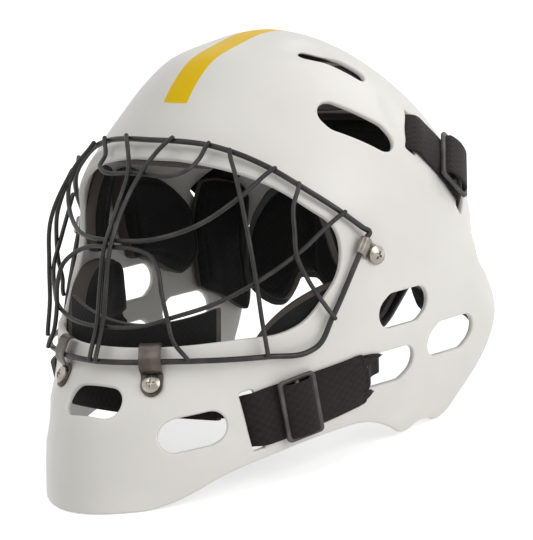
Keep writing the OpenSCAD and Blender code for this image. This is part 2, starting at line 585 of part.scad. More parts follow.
// The half-way places of four corners, each drawn in a little
function drawn(c) = let(middle = (c[0] + c[1] + c[2] + c[3]) / 4)
  [for (i = [0:3]) mid(mid(c[i], c[(i + 1) % 4]), middle, pad_draw)];
module pad(corners, t, halves = [], lift = pad_gap, rear = false) {
  seat = wall + lift;
  function found(list) = [for (p = list) let(f = place(p)) rear && f[1] < 0 ? f + [0, 360] : f];
  q = found(corners);
  h = len(halves) == 0 ? drawn(q) : found(halves);
  // Weights of the eight places at x across and y down, each from -1 to 1
  function spot(x, y) =
    q[0] * (1 - x) * (1 - y) * (-x - y - 1) / 4 + q[1] * (1 + x) * (1 - y) * (x - y - 1) / 4
    + q[2] * (1 + x) * (1 + y) * (x + y - 1) / 4 + q[3] * (1 - x) * (1 + y) * (y - x - 1) / 4
    + h[0] * (1 - x * x) * (1 - y) / 2 + h[1] * (1 + x) * (1 - y * y) / 2
    + h[2] * (1 - x * x) * (1 + y) / 2 + h[3] * (1 - x) * (1 - y * y) / 2;
  function puff(x, y) = 0.45 + 0.55 * sqrt((1 - pow(x, 4)) * (1 - pow(y, 4)));
  function face(under) = [for (i = [0:pad_rows]) [for (j = [0:pad_cols]) let(
      x = 2 * j / pad_cols - 1, y = 2 * i / pad_rows - 1, s = spot(x, y))
    at(s[0], s[1], under ? -seat - t * puff(x, y) : -seat)]];
  color([0.1, 0.1, 0.1]) slab(face(false), face(true));
}
module brow_pad() {
  stand() pad([[-72, -26, 226], [72, -26, 226], [84, -27, 203], [-84, -27, 203]], brow_t);
}
module nape_pad() {
  stand() pad([[72, 108, 222], [-72, 108, 222], [-86, 114, 184], [86, 114, 184]], nape_t,
    [[0, 128, 222], [-80, 112, 204], [0, 139, 191], [80, 112, 204]], rear = true);
}
module crown_pad() { pad([[14, -22, 257], [14, 92, 257], [60, 90, 236], [60, -14, 236]], crown_t); }
module temple_pad() { pad([[84, -29, 194], [92, -12, 196], [103, -4, 140], [103, -13, 140]], temple_t); }
module ear_pad() {
  pad([[97, 8, 189], [93, 38, 187], [103, 66, 118], [104, 28, 133]], ear_t,
    [[95, 24, 190], [97, 75, 153], [104, 47, 130], [104, 16, 160]]);
}
module cheek_pad() {
  pad([[101, -19, 134], [104, 6, 134], [98, -2, 64], [80, -52, 64]], cheek_t,
    [[103, -6, 135], [104, 7, 103], [92, -28, 61], [84, -71, 100]]);
}
module wing_pad() {
  pad([[98, 84, 180], [87, 114, 177], [95, 124, 88], [103, 84, 108]], wing_pad_t,
    [[94, 99, 180], [92, 124, 150], [101, 106, 104], [103, 81, 153]], wing_pad_lift);
}
module crown_pad_left() { stand() crown_pad(); }
module crown_pad_right() { stand() mirror([1, 0, 0]) crown_pad(); }
module temple_pad_left() { stand() temple_pad(); }
module temple_pad_right() { stand() mirror([1, 0, 0]) temple_pad(); }
module ear_pad_left() { stand() ear_pad(); }
module ear_pad_right() { stand() mirror([1, 0, 0]) ear_pad(); }
module cheek_pad_left() { stand() cheek_pad(); }
module cheek_pad_right() { stand() mirror([1, 0, 0]) cheek_pad(); }
module wing_pad_left() { stand() wing_pad(); }
module wing_pad_right() { stand() mirror([1, 0, 0]) wing_pad(); }

// Back plate: bent between the wings with a tongue below its middle, its pad in front. Its edges
// are given as height over distance from the middle.
plate_y = 131;
plate_top = 181;
plate_lean = 0.02;
plate_bend = 275;
plate_rows = 4;
plate_inset = 4;
plate_low = [[0, 89], [12, 90], [18, 96], [30, 111], [36, 118], [48, 118], [53, 106], [58, 100],
  [64, 100], [70, 103], [77, 110], [80, 118]];
plate_high = [[0, plate_top], [42, plate_top], [56, plate_top - 2], [67, plate_top - 10],
  [75, plate_top - 24], [80, plate_top - 43]];
plate_stations = [0, 6, 12, 18, 24, 30, 36, 48, 53, 58, 64, 70, 77, 80];
plate_xs = [for (i = [len(plate_stations) - 1:-1:1]) -plate_stations[i], for (x = plate_stations) x];
function plate_at(x, z, off) = fit([x, plate_y + plate_lean * (plate_top - z) - x * x / plate_bend, z])
  + [0, off, 0];
module plate_part(inset, near, thick, crown) {
  shrink = 1 - inset / 60;
  function z_of(i, x) =
    mid(lookup(abs(x), plate_low) + inset, lookup(abs(x), plate_high) - inset, i / plate_rows);
  function puff(i, x) = crown ? 0.4 + 0.6 * sqrt(
    (1 - pow(2 * i / plate_rows - 1, 4)) * (1 - pow(x / plate_stations[len(plate_stations) - 1], 6))) : 1;
  function face(far_side) = [for (i = [0:plate_rows]) [for (x = plate_xs)
    plate_at(shrink * x, z_of(i, x), near + (far_side ? thick * puff(i, x) : 0))]];
  if (thick > 0) slab(face(true), face(false));
  else slab(face(false), face(true));
}
// Its hinge: a barrel along the plate's upper edge turns on a stub of each lug, and the lugs'
// feet stand on the rear wall
hinge_at = plate_at(0, plate_top, plate_t / 2) + [0, 0, 4];
barrel_half = 12;
barrel_r = 3.2;
barrel_root = 5;
stub_r = 1.5;
stub_l = 5;
stub_gap = 0.08;
lug_gap = 0.4;
lug_w = 6;
lug_foot = [-3, 4];
foot_size = 0.4;
foot_gap = 0.8;
module on_hinge() { translate(hinge_at) rotate([0, 90, 0]) children(); }
module barrel() {
  difference() {
    hull() {
      on_hinge() cylinder(r = barrel_r, h = 2 * barrel_half, center = true);
      translate(hinge_at - [0, 0, barrel_root]) cube([2 * barrel_half, plate_t, 2], center = true);
    }
    on_hinge() cylinder(r = stub_r + stub_gap, h = 3 * barrel_half, center = true);
  }
}
module plate_lug() {
  inner = barrel_half + lug_gap;
  hull() {
    on_hinge() translate([0, 0, inner]) cylinder(r = barrel_r, h = lug_w);
    for (x = [inner, inner + lug_w], dz = lug_foot)
      translate(on([x, hinge_at[1] + barrel_half, hinge_at[2] + dz], -wall - foot_gap))
        cube(foot_size, center = true);
  }
  on_hinge() translate([0, 0, inner - stub_l]) cylinder(r = stub_r, h = stub_l + 1);
}
module plate_lug_left() { moulded() plate_lug(); }
module plate_lug_right() { moulded() mirror([1, 0, 0]) plate_lug(); }
module back_plate() {
  color([0.2, 0.2, 0.2]) stand() {
    plate_part(0, 0, plate_t, false);
    barrel();
  }
}
module back_pad() { color([0.1, 0.1, 0.1]) stand() plate_part(plate_inset, -soft_gap, -nape_t, true); }

// Chin sling between the chin straps' inner ends, and the tall chin cup on it
sling_at = [61.4, -72.4, 72];
sling_w = 24;
sling_sag = 12;
sling_cols = 14;
cup_half = 56;
cup_low = 58;
cup_high = 110;
cup_rise = 12;
function sling_y(x) = sling_at[1] - sling_sag * (1 - pow(x / sling_at[0], 2));
module sling_part(half, low, high, rise, near, thick, crown, n) {
  function x_of(j) = half * (2 * j / sling_cols - 1);
  function z_of(i, j) = mid(low, high + rise * pow(x_of(j) / half, 2), i / n);
  function puff(i, j) = crown ? 0.45 + 0.55 * sqrt(
    (1 - pow(2 * i / n - 1, 4)) * (1 - pow(2 * j / sling_cols - 1, 4))) : 1;
  function face(rear) = [for (i = [0:n]) [for (j = [0:sling_cols])
    fit([x_of(j), sling_y(x_of(j)), z_of(i, j)]) + [0, near + (rear ? thick * puff(i, j) : 0), 0]]];
  slab(face(true), face(false));
}
module chin_sling() {
  low = sling_at[2] - sling_w / 2;
  webbing() sling_part(sling_at[0], low, low + sling_w, 0, 0, strap_t, false, 1);
}
module chin_cup() {
  color([0.1, 0.1, 0.1]) stand()
    sling_part(cup_half, cup_low, cup_high, cup_rise, strap_t + soft_gap, cup_t, true, 6);
}

shell();
cage_ring();
centre_bars();
brow_bar();
upper_bar();
cheek_bar();
lower_bar();
side_bar_left();
side_bar_right();
temple_bar_left();
temple_bar_right();
side_clip_left();
side_clip_right();
chin_clip_left();
chin_clip_right();
clip_screws();
clip_nuts();
chin_strap_left();
chin_strap_right();
back_strap_left();
back_strap_right();
crown_strap();
chin_slider_left();
chin_slider_right();
back_slider_left();
back_slider_right();
chin_fold_left();
chin_fold_right();
back_fold_left();
back_fold_right();
brow_pad();
crown_pad_left();
crown_pad_right();
temple_pad_left();
temple_pad_right();
ear_pad_left();
ear_pad_right();
cheek_pad_left();
cheek_pad_right();
wing_pad_left();
wing_pad_right();
nape_pad();
chin_sling();
chin_cup();
back_plate();
back_pad();
plate_lug_left();
plate_lug_right();
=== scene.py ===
import bpy
import json
import math
import numpy as np
from mathutils import Matrix, Vector, geometry

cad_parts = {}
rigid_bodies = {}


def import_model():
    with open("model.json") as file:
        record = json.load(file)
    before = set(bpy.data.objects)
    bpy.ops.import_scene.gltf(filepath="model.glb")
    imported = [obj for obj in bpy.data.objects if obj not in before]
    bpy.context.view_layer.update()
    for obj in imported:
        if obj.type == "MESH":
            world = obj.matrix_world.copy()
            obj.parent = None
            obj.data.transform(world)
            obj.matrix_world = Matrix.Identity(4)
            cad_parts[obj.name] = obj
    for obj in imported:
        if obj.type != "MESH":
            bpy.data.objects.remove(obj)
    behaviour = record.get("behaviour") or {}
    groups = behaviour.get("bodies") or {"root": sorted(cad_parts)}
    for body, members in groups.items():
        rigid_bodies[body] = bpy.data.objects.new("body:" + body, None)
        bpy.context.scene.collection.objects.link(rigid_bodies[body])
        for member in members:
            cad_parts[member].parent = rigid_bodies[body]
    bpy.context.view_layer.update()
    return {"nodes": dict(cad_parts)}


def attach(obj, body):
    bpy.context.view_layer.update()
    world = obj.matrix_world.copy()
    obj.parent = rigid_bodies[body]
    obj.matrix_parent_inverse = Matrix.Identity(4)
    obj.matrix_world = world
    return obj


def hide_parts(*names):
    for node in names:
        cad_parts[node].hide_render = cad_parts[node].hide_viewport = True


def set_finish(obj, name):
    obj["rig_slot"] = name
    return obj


for obj in list(bpy.data.objects):
    bpy.data.objects.remove(obj)
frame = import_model()
nodes = frame["nodes"]
print("loaded", len(nodes), "nodes")

# Everything is worked out in the worn frame, in millimetres: -Y forward, +X the wearer's left.
# toRow leans it onto the chin edge and the rear tips, as the solids do, and gives metres.
stand = {"leanY": 213.0, "leanZ": 38.0, "middleY": 24.7, "drop": 29.872}
lean = math.atan2(stand["leanZ"], stand["leanY"])


def toRow(p):
    p = np.asarray(p, float)
    c, s = math.cos(lean), math.sin(lean)
    return np.stack([p[..., 0], p[..., 1] * c + p[..., 2] * s - stand["middleY"],
                     p[..., 2] * c - p[..., 1] * s - stand["drop"]], -1) * 0.001


def unit(v):
    # Same directions, one long
    v = np.asarray(v, float)
    return v / np.maximum(np.linalg.norm(v, axis=-1, keepdims=True), 1e-9)


def flipX(p):
    return np.asarray(p, float) * np.array([-1.0, 1.0, 1.0])


# The shell's outer face
# Level sections, crown first: height, front, back, widest depth, half width, roundness front, back
sections = np.array([
    [273.5, 37, 37, 37, 0, 2, 2], [271.5, 20, 54, 37, 16, 2, 2], [266.5, 3, 71, 37, 32, 2, 2],
    [257, -22, 89, 36, 52, 2, 2], [243, -38, 112, 38, 68, 2, 2], [226, -50, 131, 40, 83, 2, 2.05],
    [208, -62, 140, 40, 96, 2, 2.2], [190, -72, 144, 39, 104, 2.05, 2.5],
    [170, -80, 143, 36, 108, 2.1, 2.9], [150, -89, 143, 31, 108, 2.1, 3.3],
    [128, -96, 151, 27, 108, 2, 4.2], [105, -102, 158, 24, 106, 1.9, 5],
    [82, -110, 160, 19, 101, 1.85, 5], [60, -122, 158, 12, 94, 1.85, 4.8],
    [36, -127, 150, 6, 87, 1.9, 4.4], [12, -129, 136, 0, 82, 1.9, 4],
    [-12, -130, 120, -5, 78, 1.9, 3.6]], float)
lastSection = len(sections) - 1
overPole = 2 * sections[0] - sections[1]
overPole[[0, 5, 6]] = sections[1][[0, 5, 6]]
padded = np.vstack([overPole, sections, 2 * sections[-1] - sections[-2]])


def sectionAt(u):
    # Smooth cubic through four neighbouring sections
    u = np.clip(np.asarray(u, float), 0, lastSection - 1e-6)
    i = np.floor(u).astype(int)
    t = (u - i)[..., None]
    a, b, c, d = padded[i], padded[i + 1], padded[i + 2], padded[i + 3]
    return 0.5 * (2 * b + (c - a) * t + (2 * a - 5 * b + 4 * c - d) * t ** 2
                  + (3 * b - a - 3 * c + d) * t ** 3)


def signedPower(v, p):
    # Power of the size of v, with its sign kept
    return np.sign(v) * np.abs(v) ** p


def skin(u, a):
    # Point of the outer face: a superellipse in each level section, angle a from the front over the left
    r = sectionAt(u)
    z, yf, yr, yc, w, nf, nr = [r[..., k] for k in range(7)]
    s, c = np.sin(a), np.cos(a)
    n = np.where(c >= 0, nf, nr)
    e = np.where(c >= 0, yc - yf, yr - yc)
    return np.stack([w * signedPower(s, 2 / n), yc - e * signedPower(c, 2 / n), z + 0 * s], -1)


chord = {"down": 0.02, "round": 0.012, "least": 0.001, "pole": 0.05}


def outward(u, a):
    # Outward normal from two short chords, straight up at the crown
    u = np.asarray(u, float)
    hi, lo = np.minimum(u + chord["down"], lastSection), np.maximum(u - chord["down"], chord["least"])
    n = unit(np.cross(skin(hi, a) - skin(lo, a), skin(u, a + chord["round"]) - skin(u, a - chord["round"])))
    return np.where(u[..., None] < chord["pole"], np.array([0.0, 0.0, 1.0]), n)


heightTableU = np.linspace(0, lastSection, 6000)
heightTableZ = sectionAt(heightTableU)[:, 0]


def levelAt(y, z):
    # Section number and row at height z, with the roundness and reach of the half that holds depth y
    u = np.interp(-z, -heightTableZ, heightTableU)
    r = sectionAt(u)
    front = y <= r[..., 3]
    roundness = np.where(front, r[..., 5], r[..., 6])
    return u, r, roundness, np.where(front, r[..., 3] - r[..., 1], r[..., 2] - r[..., 3])


def place(p):
    # Section number and angle of a point: cos a = ((yc - y) / e)^(n/2), sin a = (x / w)^(n/2)
    p = np.asarray(p, float)
    u, r, n, e = levelAt(p[..., 1], p[..., 2])
    c = signedPower((r[..., 3] - p[..., 1]) / np.maximum(e, 0.01), n / 2)
    s = signedPower(p[..., 0] / np.maximum(r[..., 4], 0.01), n / 2)
    return u, np.arctan2(s, c)


def onSkin(p, lift=0.0):
    # Point of the outer face at the same height and angle, lifted along its normal
    u, a = place(p)
    return skin(u, a) + np.asarray(lift, float)[..., None] * outward(u, a)


def normalAt(p):
    return outward(*place(p))


def squareTo(way, p):
    # The normal at one point, made square to a unit way along the face
    z = normalAt(p)
    return unit(z - (z @ way) * way)


def smoothRun(points, k):
    # Cubic through given points, the nearer neighbour setting more of each heading
    p = np.asarray(points, float)
    gap = np.diff(p, axis=0)
    size = np.linalg.norm(gap, axis=1, keepdims=True)
    way = gap / size
    head = np.vstack([way[:1], unit(way[:-1] * size[1:] + way[1:] * size[:-1]), way[-1:]])
    t = (np.arange(k) / k)[None, :, None]
    a, b = p[:-1, None], p[1:, None]
    ma, mb = (size * head[:-1])[:, None], (size * head[1:])[:, None]
    q = ((2 * t ** 3 - 3 * t ** 2 + 1) * a + (t ** 3 - 2 * t ** 2 + t) * ma
         + (3 * t ** 2 - 2 * t ** 3) * b + (t ** 3 - t ** 2) * mb)
    return np.vstack([q.reshape(-1, p.shape[1]), p[-1:]])


def distances(line):
    # Distance along a line at each of its points
    return np.concatenate([[0], np.cumsum(np.linalg.norm(np.diff(line, axis=0), axis=1))])


def readLine(want, at, line, period=None):
    # Points of a line wherever the measure at is as wanted
    return np.stack([np.interp(want, at, column, period=period) for column in line.T], 1)


def resample(p, step, closed=False):
    # Same curve with points an even step apart
    q = np.vstack([p, p[:1]]) if closed else np.asarray(p, float)
    length = distances(q)
    count = max(int(round(length[-1] / step)), 3)
    return readLine(np.linspace(0, length[-1], count + 1)[:-1 if closed else None], length, q)


def evenLoop(p, step, rounds=2):
    # Closed curve resampled and lightly smoothed
    q = resample(p, step, True)
    for _ in range(rounds):
        q = 0.5 * q + 0.25 * (np.roll(q, 1, 0) + np.roll(q, -1, 0))
    return q


# Openings. The edge lines are depth and height seen from the side. A window is its place, the way it
# runs, its length, height, corner radius and shear.
faceEdge = [[-64, 202.5], [-56, 198], [-44, 189], [-32, 177], [-21, 166.5], [-18, 156], [-19, 143],
            [-29, 126], [-41, 112], [-52, 107], [-67, 105], [-101, 99.5], [-106, 99]]
lowerEdge = [[-131, 6.5], [-110, 11], [-99, 16], [-77, 29], [-46, 40], [-8, 49], [10, 51], [29, 49],
             [42, 45], [54, 41], [59, 42], [67, 46], [76, 47], [85, 45], [91, 47], [106, 62], [119, 79],
             [127, 94], [130.5, 108], [129, 118], [120, 131], [112, 140], [118, 147], [131, 151],
             [150, 153]]
vents = {"sidePlaces": [[31, 117.3], [79.3, 97], [25, 83]], "tilt": 5.5, "side": [43, 20, 9, 3],
         "chin": [[55, -92, 54], [27, 33, 8], 40, 19, 9, 3],
         "upper": [[83, 17, 221], [16, 27, -14], 44, 20, 9, -3],
         "crown": [[48, 33, 256], [28, 32, -14], 42, 11, 9, 0],
         "middle": [[0, -112, 70], [1, 0, 0], 40, 19, 9, 0]}
straps = {"slotLength": 8, "slotExtra": 2.5, "slotRadius": 1.5, "thick": 1.6, "gap": 0.3,
          "chin": {"start": [74, -63, 59], "end": [100, 5, 79], "width": 32},
          "back": {"start": [87, 60, 216], "end": [96, 98, 181], "width": 34},
          "crown": {"start": [0, 86, 257], "end": [0, 120, 236], "width": 34}}
sides = (("_left", 1.0), ("_right", -1.0))
wall = 3.6
lip = 1.3
loopStep = 1.8
midPlane = np.array([0, 1, 1.0])


def circlePoints(count):
    # Cosine and sine at even turns
    turn = np.linspace(0, 2 * np.pi, count + 1)[:-1]
    return np.stack([np.cos(turn), np.sin(turn)], 1)


def window2d(length, height, radius, shear, grow):
    # Rounded slanted window: the outline that four circles share, widened by grow
    c = min(radius, height / 2 - 0.5)
    corners = np.array([[x * (length / 2 - c - shear / 2) + y * shear / 2, y * (height / 2 - c)]
                        for x in (-1, 1) for y in (-1, 1)])
    way = circlePoints(360)
    return resample(corners[np.argmax(way @ corners.T, axis=1)] + (c + grow) * way, 1.5, True)


def windowLoop(point, along, *size):
    # Outline of a window cut straight in along the outer face's normal z, moved onto the face
    point, x = np.array(point, float), unit(along)
    z = squareTo(x, point)
    w = window2d(*size, lip)
    p = onSkin(point) + w[:, :1] * x + w[:, 1:] * np.cross(z, x)
    for _ in range(8):
        u, a = place(p)
        q, n = skin(u, a), outward(u, a)
        p = p + (((q - p) * n).sum(1) / np.maximum((n @ z), 0.2))[:, None] * z
    return onSkin(p)


def sidePoint(yz):
    # Point of the outer face seen at this depth and height from the left
    yz = np.asarray(yz, float)
    u, r, n, e = levelAt(yz[:, 0], yz[:, 1])
    return skin(u, np.arccos(np.clip(signedPower((r[:, 3] - yz[:, 0]) / e, n / 2), -1, 1)))


def grown(curve, amount):
    # Side-view curve moved sideways by amount, to its left
    t = unit(np.gradient(curve, axis=0))
    return curve + amount * np.stack([-t[:, 1], t[:, 0]], 1)


def mirroredLoop(first, half, rounds):
    # Closed outline from its left half, which starts and ends in the middle plane
    left = np.vstack([first, half])
    last = onSkin(half[-1] * midPlane)
    return evenLoop(np.vstack([left, last, flipX(left[::-1][:-1])]), loopStep, rounds)


def faceLoop():
    # The face opening: its edge line on each side, bridged level across the brow
    half = sidePoint(grown(smoothRun(faceEdge, 10), lip))
    bridge = np.linspace(0, 1, 10)[:-1, None] * half[0] * np.array([1, 0, 0]) + half[0] * midPlane
    return mirroredLoop(onSkin(bridge), half[half[:, 0] > 0.4], 3)


def lowerLoop():
    # The edge is lifted where it would pass through the floor
    edge = grown(smoothRun(lowerEdge, 8), lip)
    c, s = math.cos(lean), math.sin(lean)
    under = edge[:, 1] * c - edge[:, 0] * s - stand["drop"] - lip
    edge[:, 1] = np.where(under < 0, edge[:, 1] - under / c, edge[:, 1])
    half = sidePoint(edge)
    half = half[half[:, 0] > 0.4]
    return mirroredLoop(onSkin(half[0] * midPlane), half, 1)


def sideVentLoop(centre):
    # A tilted window laid out in the side view
    t = math.radians(vents["tilt"])
    c, s = math.cos(t), math.sin(t)
    return sidePoint(window2d(*vents["side"], lip) @ np.array([[c, s], [-s, c]]) + np.array(centre))


def span(kind):
    return np.array(straps[kind]["end"], float) - np.array(straps[kind]["start"], float)


def strapSlot(kind, at):
    # A slot across its strap, at one end of the strap's run
    return windowLoop(straps[kind][at], span(kind), straps["slotLength"],
                      straps[kind]["width"] + straps["slotExtra"], straps["slotRadius"], 0)


def allLoops():
    # The lower edge first, the face next, then every other hole
    half = [sideVentLoop(c) for c in vents["sidePlaces"]]
    half += [windowLoop(*vents[kind]) for kind in ("chin", "upper", "crown")]
    half += [strapSlot(*slot) for slot in (("chin", "start"), ("back", "start"), ("back", "end"))]
    middle = [windowLoop(*vents["middle"]), strapSlot("crown", "start"), strapSlot("crown", "end")]
    return [lowerLoop(), faceLoop()] + half + [flipX(h) for h in half] + middle


# Flattening the dome, so that its holes can be triangulated
spreadU = np.linspace(0.02, lastSection, 1600)
turns = np.linspace(0, 2 * np.pi, 181)
ringPoints = skin(spreadU[:, None], turns[None, :])
ringLength = np.linalg.norm(np.diff(ringPoints, axis=1), axis=2).sum(1)
stepDown = np.linalg.norm(np.diff(ringPoints[:, :-1], axis=0), axis=2).mean(1)
meanRing = 0.5 * (ringLength[1:] + ringLength[:-1])
spreadRho = 3.0 * np.exp(np.concatenate([[0], np.cumsum(stepDown * 2 * np.pi / meanRing)]))
slopeDown = np.concatenate([[0], np.cumsum(stepDown)])


def flatten(p):
    # Angle-true spread of the dome round its crown
    u, a = place(p)
    rho = np.interp(u, spreadU, spreadRho)
    return np.stack([rho * np.sin(a), -rho * np.cos(a)], 1)


def inChunks(measure, points, size=2000):
    return np.concatenate([measure(points[k:k + size, None]) for k in range(0, len(points), size)])


def insideLoop(points, loop):
    # Counts how often a line to the right of each point crosses the loop
    a, b = loop, np.roll(loop, -1, 0)
    fall = np.where(b[:, 1] == a[:, 1], 1e-9, b[:, 1] - a[:, 1])

    def crossed(p):
        over = (a[:, 1] > p[..., 1]) != (b[:, 1] > p[..., 1])
        cut = a[:, 0] + (p[..., 1] - a[:, 1]) / fall * (b[:, 0] - a[:, 0])
        return (over & (p[..., 0] < cut)).sum(1) % 2 == 1

    return inChunks(crossed, points)


def nearestDistance(points, line):
    # Distance from each point to the nearest point of line
    return inChunks(lambda p: np.sqrt(((p - line) ** 2).sum(2).min(1)), points)


def smoothStep(x, lo, hi):
    # 0 below lo, 1 above hi, and 3 t^2 - 2 t^3 between them
    t = np.clip((x - lo) / (hi - lo), 0, 1)
    return t * t * (3 - 2 * t)


relief = {"rim": 0.55, "rimFrom": 9, "rimTo": 12.5, "dishFrom": 0.25, "creaseHeight": 0.5,
          "creaseWidth": 4.5, "creaseFade": 0.12, "creaseEnd": 0.8,
          "crease": [[97, 38, 190], [104, 118, 152]],
          "dishes": [[[70, -71, 58], 1.8, [12, 12, 22]], [[40, 26, 262], 2.2, [20, 22, 12]],
                     [[83, 52, 222], 1.6, [14, 12, 24]]]}


def shellRelief(p, loops):
    # Lift of the moulded face: a raised rim round the face, dished slots and soft creases
    face = nearestDistance(p, loops[1])
    lift = relief["rim"] * (1 - smoothStep(face, relief["rimFrom"], relief["rimTo"]))
    mirror = np.abs(p[:, :1]) * np.array([[1, 0, 0]]) + p * np.array([[0, 1, 1]])
    for middle, depth, radius in relief["dishes"]:
        d = np.linalg.norm((mirror - np.array(middle, float)) / np.array(radius, float), axis=1)
        lift = lift - depth * (1 - smoothStep(d, relief["dishFrom"], 1.0))
    a, b = np.array(relief["crease"][0], float), np.array(relief["crease"][1], float)
    t = np.clip(((mirror - a) @ (b - a)) / ((b - a) @ (b - a)), 0, 1)
    d = np.linalg.norm(mirror - (a + t[:, None] * (b - a)), axis=1)
    fade = smoothStep(t, 0.0, relief["creaseFade"]) * (1 - smoothStep(t, relief["creaseEnd"], 1.0))
    return lift + relief["creaseHeight"] * np.exp(-(d / relief["creaseWidth"]) ** 2) * fade


def quadFaces(table, down, across):
    # Quads between neighbours in a table of point numbers, wrapped round down or across if 1
    k = np.pad(table, ((0, down), (0, across)), "wrap")
    return np.stack([k[:-1, :-1], k[:-1, 1:], k[1:, 1:], k[1:, :-1]], -1).reshape(-1, 4)


def gridFaces(rows, cols, down, across):
    return quadFaces(np.arange(rows * cols).reshape(rows, cols), down, across)


def fanFaces(ring, tip, turned):
    # Triangles from each side of a ring to a tip
    tri = np.stack([ring, np.roll(ring, -1), np.full(len(ring), tip)], 1)
    return tri[:, ::-1] if turned else tri


def capped(p, tips=None):
    # Points and faces of a tube from its rings of points, each end shut by a fan round a tip
    rows, cols = p.shape[:2]
    tips = [p[0].mean(0), p[-1].mean(0)] if tips is None else tips
    tris = [fanFaces(np.arange(cols), rows * cols, True),
            fanFaces((rows - 1) * cols + np.arange(cols), rows * cols + 1, False)]
    return np.vstack([p.reshape(-1, 3), tips]), gridFaces(rows, cols, 0, 1), np.vstack(tris)


def ovalSection(across, edge):
    # Flat oval with across points on each face and edge points over each rounded side: x runs over
    # the width from -1 to 1, r goes past it in edge radii, and z is the height from -1 to 1
    turn = np.linspace(-np.pi / 2, np.pi / 2, edge)[1:-1]
    flat, one = np.linspace(-1, 1, across), np.ones(edge - 2)
    return (np.concatenate([flat, one, flat[::-1], -one]),
            np.concatenate([0 * flat, np.cos(turn), 0 * flat, -np.cos(turn)]),
            np.concatenate([-1 + 0 * flat, np.sin(turn), 1 + 0 * flat, np.sin(turn)[::-1]]))


def link(obj):
    bpy.context.scene.collection.objects.link(obj)
    return obj


def signedVolume(v, faceSets):
    # Sum of a . (b x c) / 6 over the triangles of every face
    total = 0.0
    for f in faceSets:
        for k in range(1, f.shape[1] - 1):
            total += np.einsum("ij,ij->i", v[f[:, 0]], np.cross(v[f[:, k]], v[f[:, k + 1]])).sum()
    return total / 6


def meshFrom(name, points, faceSets, uv=None):
    # Mesh object from worn-frame points and face arrays, made to face outwards
    verts = toRow(points)
    mesh = bpy.data.meshes.new(name)
    mesh.from_pydata(verts, [], [face for f in faceSets for face in f.tolist()], shade_flat=False)
    if uv is not None:
        corners = np.concatenate([f.ravel() for f in faceSets])
        layer = mesh.uv_layers.new(name="cloth")
        layer.data.foreach_set("uv", np.asarray(uv, np.float32)[corners].ravel())
    if signedVolume(verts, faceSets) < 0:
        mesh.flip_normals()
    return link(bpy.data.objects.new(name, mesh))


def markPoints(obj, name, level):
    mark = obj.data.attributes.new(name, "FLOAT", "POINT")
    mark.data.foreach_set("value", np.asarray(level, np.float32))


made = []


def dress(obj, body, node, slotName):
    # Puts a piece on its body in place of a node, with the slot that its finish goes by
    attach(obj, body)
    if node:
        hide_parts(node)
    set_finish(obj, slotName)
    made.append(obj)
    return obj


def fillPoints(step):
    # Points down the dome in rings, about a step apart
    rows = [skin(np.zeros(1), np.zeros(1))]
    for s in np.arange(step, slopeDown[-1], step * 0.87):
        u = np.interp(s, slopeDown, spreadU)
        count = max(int(round(np.interp(u, spreadU, ringLength) / step)), 6)
        ring = skin(np.full(720, u), np.linspace(0, 2 * np.pi, 721)[:-1])
        rows.append(resample(np.roll(ring, -1, 0), step, True)[:count])
    return np.vstack(rows)


def insideSheet(points, flatLoops):
    # Inside the first outline and outside all the others
    keep = insideLoop(points, flatLoops[0])
    for loop in flatLoops[1:]:
        keep &= ~insideLoop(points, loop)
    return keep


shellMesh = {"step": 3.2, "clear": 0.55, "lipRows": 6}


